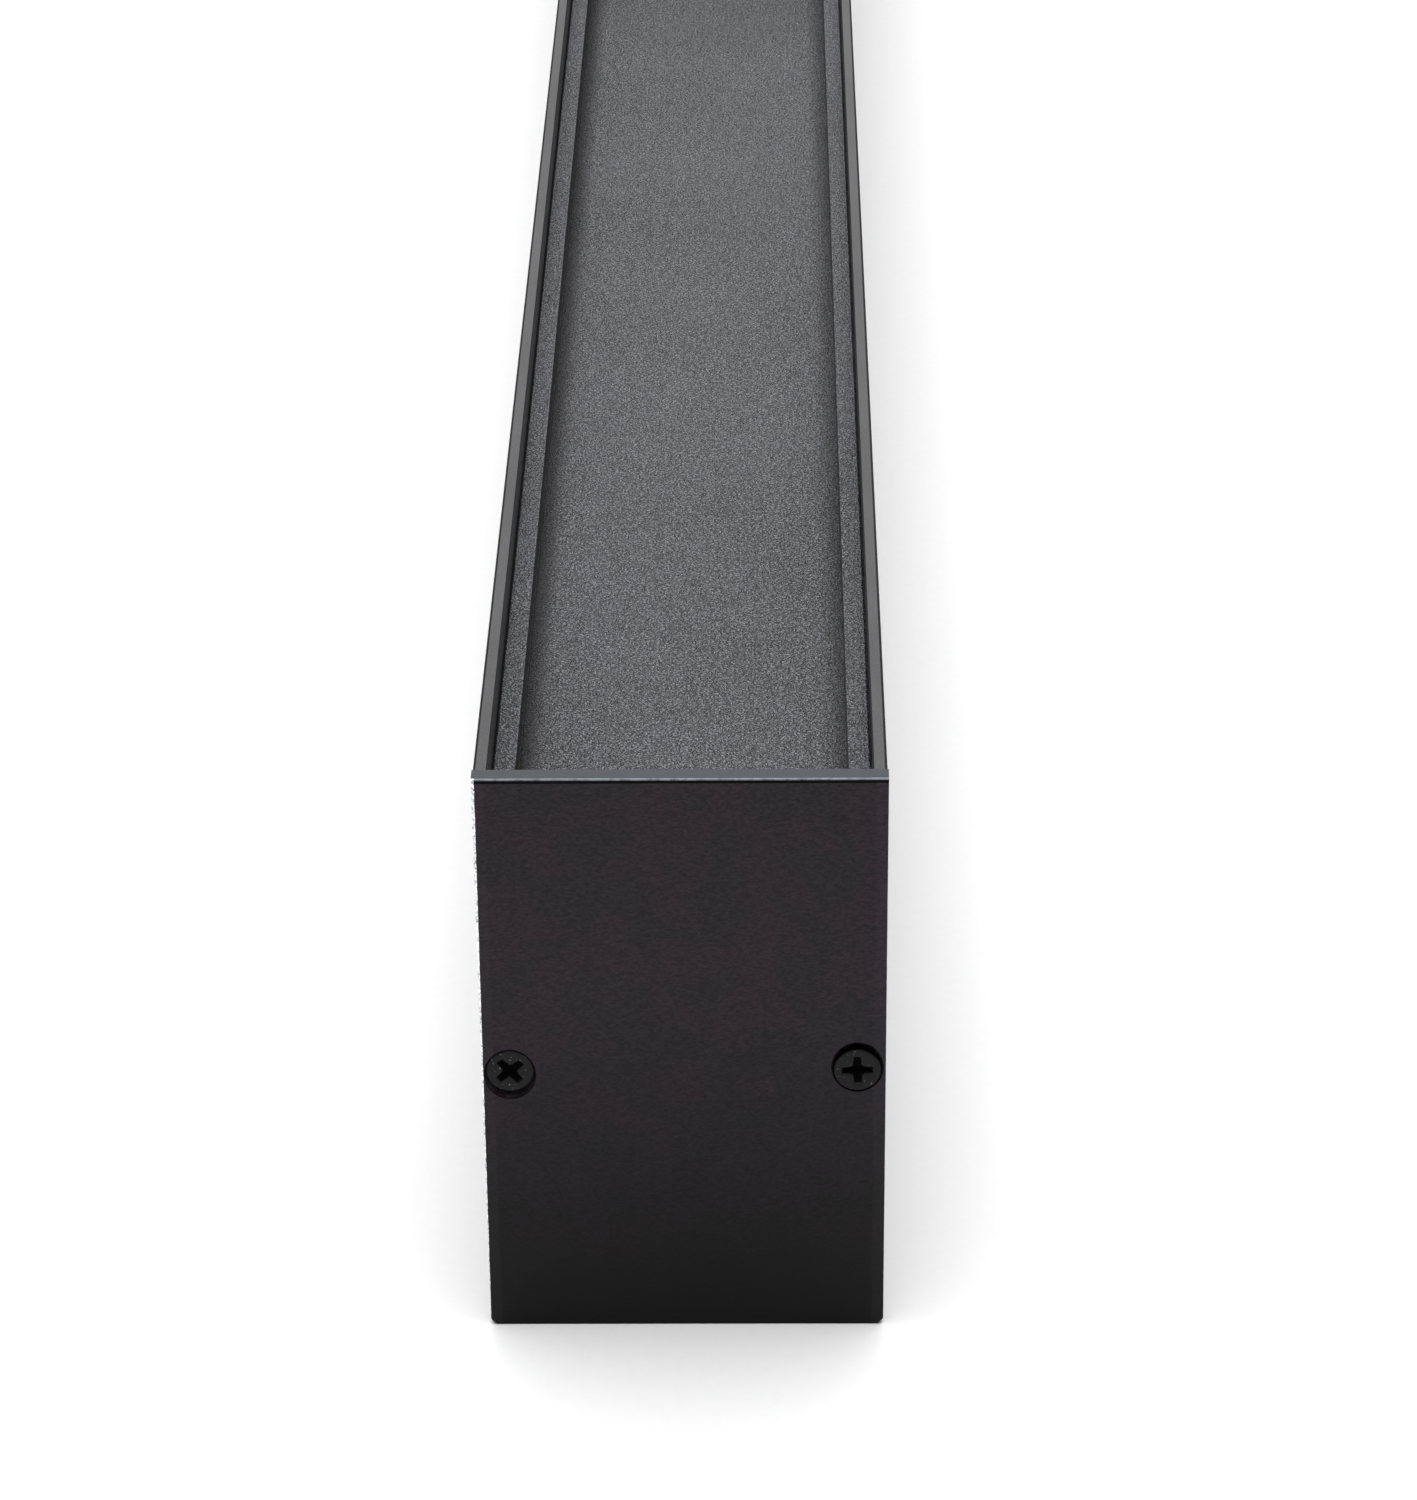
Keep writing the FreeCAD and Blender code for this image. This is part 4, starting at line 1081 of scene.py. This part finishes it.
set_screws = screw_recipe()


def set_points(name, places):
    """Loose points, each with its stance."""
    mesh = bpy.data.meshes.new(name)
    mesh.from_pydata([place for place, _ in places], [], [])
    stance = mesh.attributes.new("stance", "FLOAT_VECTOR", "POINT")
    for item, (_, turn) in zip(stance.data, places):
        item.vector = turn.to_euler()
    return linked(name, mesh)


def setting(node, screw, places):
    """One node's screws as one piece."""
    points = set_points(node + "_points", places)
    set_screws.cook(points, Screw=screw, Material=finishes[slot_of[node]].material)
    stand_for(plain_piece(points, node + "_skin"), node)


# %% [markdown]
# ## The cross recess
#
# A cross recess is four narrow wings that get shorter and narrower with depth, with a small flat where two
# wings meet. The cutter is that hollow as a solid: an outline at the top, smaller ones below, and faces
# between them. A fine bevel on the finished head gives the thin bright lines that make a recess readable in
# black on black.

# %% Screw heads
# the span of the cross, the width of its wings and its depth
PLATE_RECESS = (4.1 * MM, 1.15 * MM, 1.35 * MM)
PAN_RECESS = (3.0 * MM, 0.8 * MM, 0.9 * MM)
PAN_HEIGHT, PAN_LENGTH = 1.6 * MM, 3.8 * MM
SHANK = 1.25 * MM


def cross_outline(span, arm, fillet):
    """The sixteen corners of a cross whose inner corners are cut by a small flat."""
    tip, side, root = span / 2, arm / 2, arm / 2 + fillet
    quarter = [(tip, side * 0.8), (root, side), (side, root), (side * 0.8, tip)]
    outline = []
    for i in range(4):
        turn = Matrix.Rotation(i * math.pi / 2, 2)
        outline += [tuple(turn @ Vector(corner)) for corner in quarter]
    return outline


def recess_cutter(head_top, span, arm, depth):
    """The hollow of a cross recess as a solid, from above the head down to its pointed floor."""
    above = 0.3 * MM
    levels = ((head_top + above, 1.03), (head_top - depth * 0.55, 0.80), (head_top - depth, 0.34))
    bm = bmesh.new()
    rings = []
    for z, share in levels:
        corners = cross_outline(span * share, arm * (0.55 + 0.45 * share), 0.22 * MM * share)
        rings.append([bm.verts.new((x, y, z)) for x, y in corners])
    bridge(bm, rings)
    bm.faces.new(rings[0])
    bm.faces.new(rings[-1])
    bmesh.ops.recalc_face_normals(bm, faces=bm.faces)
    return mesh_object("recess", bm)


def recessed(name, profile, head_top, recess, soften):
    """A turned screw with a cross recess and softened edges."""
    blank = turned_body(name + "_blank", profile)
    cut_away(blank, recess_cutter(head_top, *recess))
    return plain_piece(blank, name, soften)


def countersunk_profile():
    """The screw that holds an end plate, its head's face at z = 0."""
    land, edge, point = 0.25 * MM, 0.10 * MM, 0.8 * MM
    length = 16 * MM - (CAP_FACE - HEAD_FACE)
    cone_end = -(land + HEAD_RADIUS - SHANK)
    return [(0, 0), (HEAD_RADIUS - edge, 0), (HEAD_RADIUS, -edge), (HEAD_RADIUS, -land), (SHANK, cone_end),
            (SHANK, -length + point), (0.5 * MM, -length), (0, -length)]


def pan_profile():
    """A pan-head screw whose head sits on z = 0 and whose shank runs down."""
    dome = [(PAN_HEAD * math.sin(a), PAN_HEIGHT * (0.45 + 0.55 * math.cos(a))) for a in angles(0, 90, 6)]
    return dome + [(PAN_HEAD, 0), (SHANK, 0), (SHANK, -PAN_LENGTH), (0, -PAN_LENGTH)]


countersunk = recessed("countersunk", countersunk_profile(), 0, PLATE_RECESS, 0.05 * MM)
pan = recessed("pan", pan_profile(), PAN_HEIGHT, PAN_RECESS, 0.03 * MM)

# %% [markdown]
# The four end-plate screws come first. The pair that faces the viewer stands upright on the right and
# turned by about 40 degrees on the left. The pan heads hold the light boards from below and the driver and
# the terminal block from above.

# %% Set the screws
UP = Matrix.Identity(3)
DOWN = Matrix.Rotation(math.pi, 3, "X")
PLATE_TURNS = {(1, 1): 1.5, (1, -1): 41.0, (-1, 1): 67.0, (-1, -1): 22.0}


def own_turn(stance, degrees):
    return stance @ Matrix.Rotation(math.radians(degrees), 3, "Z")


plate_screws = []
for (side, hand), degrees in PLATE_TURNS.items():
    place = (side * HEAD_FACE, hand * SCREW_Y, SCREW_Z)
    plate_screws.append((place, own_turn(facing_out(side).to_3x3(), degrees)))
setting("end_cap_screws", countersunk, plate_screws)

board_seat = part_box("board_screws")[0].z + PAN_HEIGHT
setting("board_screws", pan, [((x, y, board_seat), own_turn(DOWN, 37 * i))
                              for i, (x, y) in enumerate(board_screw_places)])
for node, places in (("driver_screws", driver_screw_places), ("terminal_block_screws", block_screw_places)):
    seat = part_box(node)[1].z - PAN_HEIGHT
    setting(node, pan, [((x, y, seat), own_turn(UP, 51 * i)) for i, (x, y) in enumerate(places)])
for model in (countersunk, pan):
    bpy.data.objects.remove(model)

# %% [markdown]
# ## Light chips
#
# Each board carries a row of chips at one pitch. A chip is a small white package with a round yellow lens,
# and a row is one point repeated along a line, as a Mesh Line node makes. The lens is marked by an
# attribute on its faces, so the finish can colour it.

# %% Light chips
LENS_REACH = 0.36


def chip_model(size, height):
    """A chip with its lens facing down, its back on z = 0."""
    bm = bmesh.new()
    bmesh.ops.create_cube(bm, size=1, matrix=Matrix.Translation((0, 0, -height / 2))
                          @ Matrix.Diagonal((size, size, height, 1)))
    front = min(bm.faces, key=lambda f: f.calc_center_median().z)
    reach = size * LENS_REACH
    bmesh.ops.inset_region(bm, faces=[front], thickness=size / 2 - reach)
    bmesh.ops.subdivide_edges(bm, edges=list(front.edges), cuts=3, use_grid_fill=True)
    facing_down = [(f, f.calc_center_median()) for f in bm.faces if f.normal.z < -0.9]
    for v in {v for f, middle in facing_down if max(abs(middle.x), abs(middle.y)) < reach for v in f.verts}:
        square = max(abs(v.co.x), abs(v.co.y))
        if square > ON_AXIS:
            round_share = square / math.hypot(v.co.x, v.co.y)
            v.co.x *= round_share
            v.co.y *= round_share
        v.co.z += 0.10 * height * (1 - (v.co.x ** 2 + v.co.y ** 2) / reach ** 2)
    made = mesh_object("chip", bm)
    lens = made.data.attributes.new("lens", "FLOAT", "FACE")
    for item, face in zip(lens.data, made.data.polygons):
        centre = face.center
        item.value = float(centre.z < -height * 0.8 and math.hypot(centre.x, centre.y) < reach)
    return made


def chip_recipe():
    recipe = Recipe("chip_row", {"Chip": "Object", "Count": "Int", "Pitch": "Float", "First": "Vector"})
    step = recipe.node("ShaderNodeCombineXYZ", {}, {0: recipe.given("Pitch")})
    row = recipe.node("GeometryNodeMeshLine", {"mode": "OFFSET"}, {
        "Count": recipe.given("Count"), "Start Location": recipe.given("First"), "Offset": step})
    return copies(recipe, row, "Chip", {})


CHIP, CHIP_HEIGHT, CHIP_PITCH = 3.0 * MM, 0.8 * MM, 11.8 * MM
chip = chip_model(CHIP, CHIP_HEIGHT)
chip_row = chip_recipe()
for number in range(1, 5):
    node = f"led_chips_{number}"
    low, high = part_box(node)
    count = round((high.x - low.x - CHIP) / CHIP_PITCH) + 1
    holder = mesh_object(node + "_row", bmesh.new())
    chip_row.cook(holder, Chip=chip, Count=count, Pitch=CHIP_PITCH, First=(low.x + CHIP / 2, 0, high.z),
                  Material=finishes["led_chip"].material)
    stand_for(plain_piece(holder, node + "_skin"), node)
bpy.data.objects.remove(chip)

# %% [markdown]
# ## Cable grommet
#
# The grommet is a ring of rubber with a groove that the tray's edge sits in. Its section, with rounded
# lips, is turned about the hole's axis.

# %% Cable grommet
def cable_grommet():
    low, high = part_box("cable_grommet")
    bore, mouth, hole = 3.6 * MM, 0.4 * MM, ENTRY_HOLE * MM
    top = TRAY_UNDER + TRAY_FLOOR * MM
    lip = (high.z - top) / 2

    def rounded_lip(z):
        return [(high.x - lip + lip * math.sin(a), z + lip * math.cos(a)) for a in angles(0, 180, 10)]

    def rounded_mouth(z, inwards):
        return [(bore, z + inwards), (bore + 0.3 * mouth, z + 0.3 * inwards), (bore + mouth, z)]

    outline = (rounded_mouth(high.z, -mouth) + rounded_lip(high.z - lip) + [(hole, top), (hole, TRAY_UNDER)]
               + rounded_lip(low.z + lip) + rounded_mouth(low.z, mouth)[::-1])
    ring = plain_piece(turned_body("grommet_blank", outline, 72, True), "cable_grommet_skin")
    ring.data.materials.append(finishes["rubber_black"].material)
    stand_for(ring, "cable_grommet")


cable_grommet()
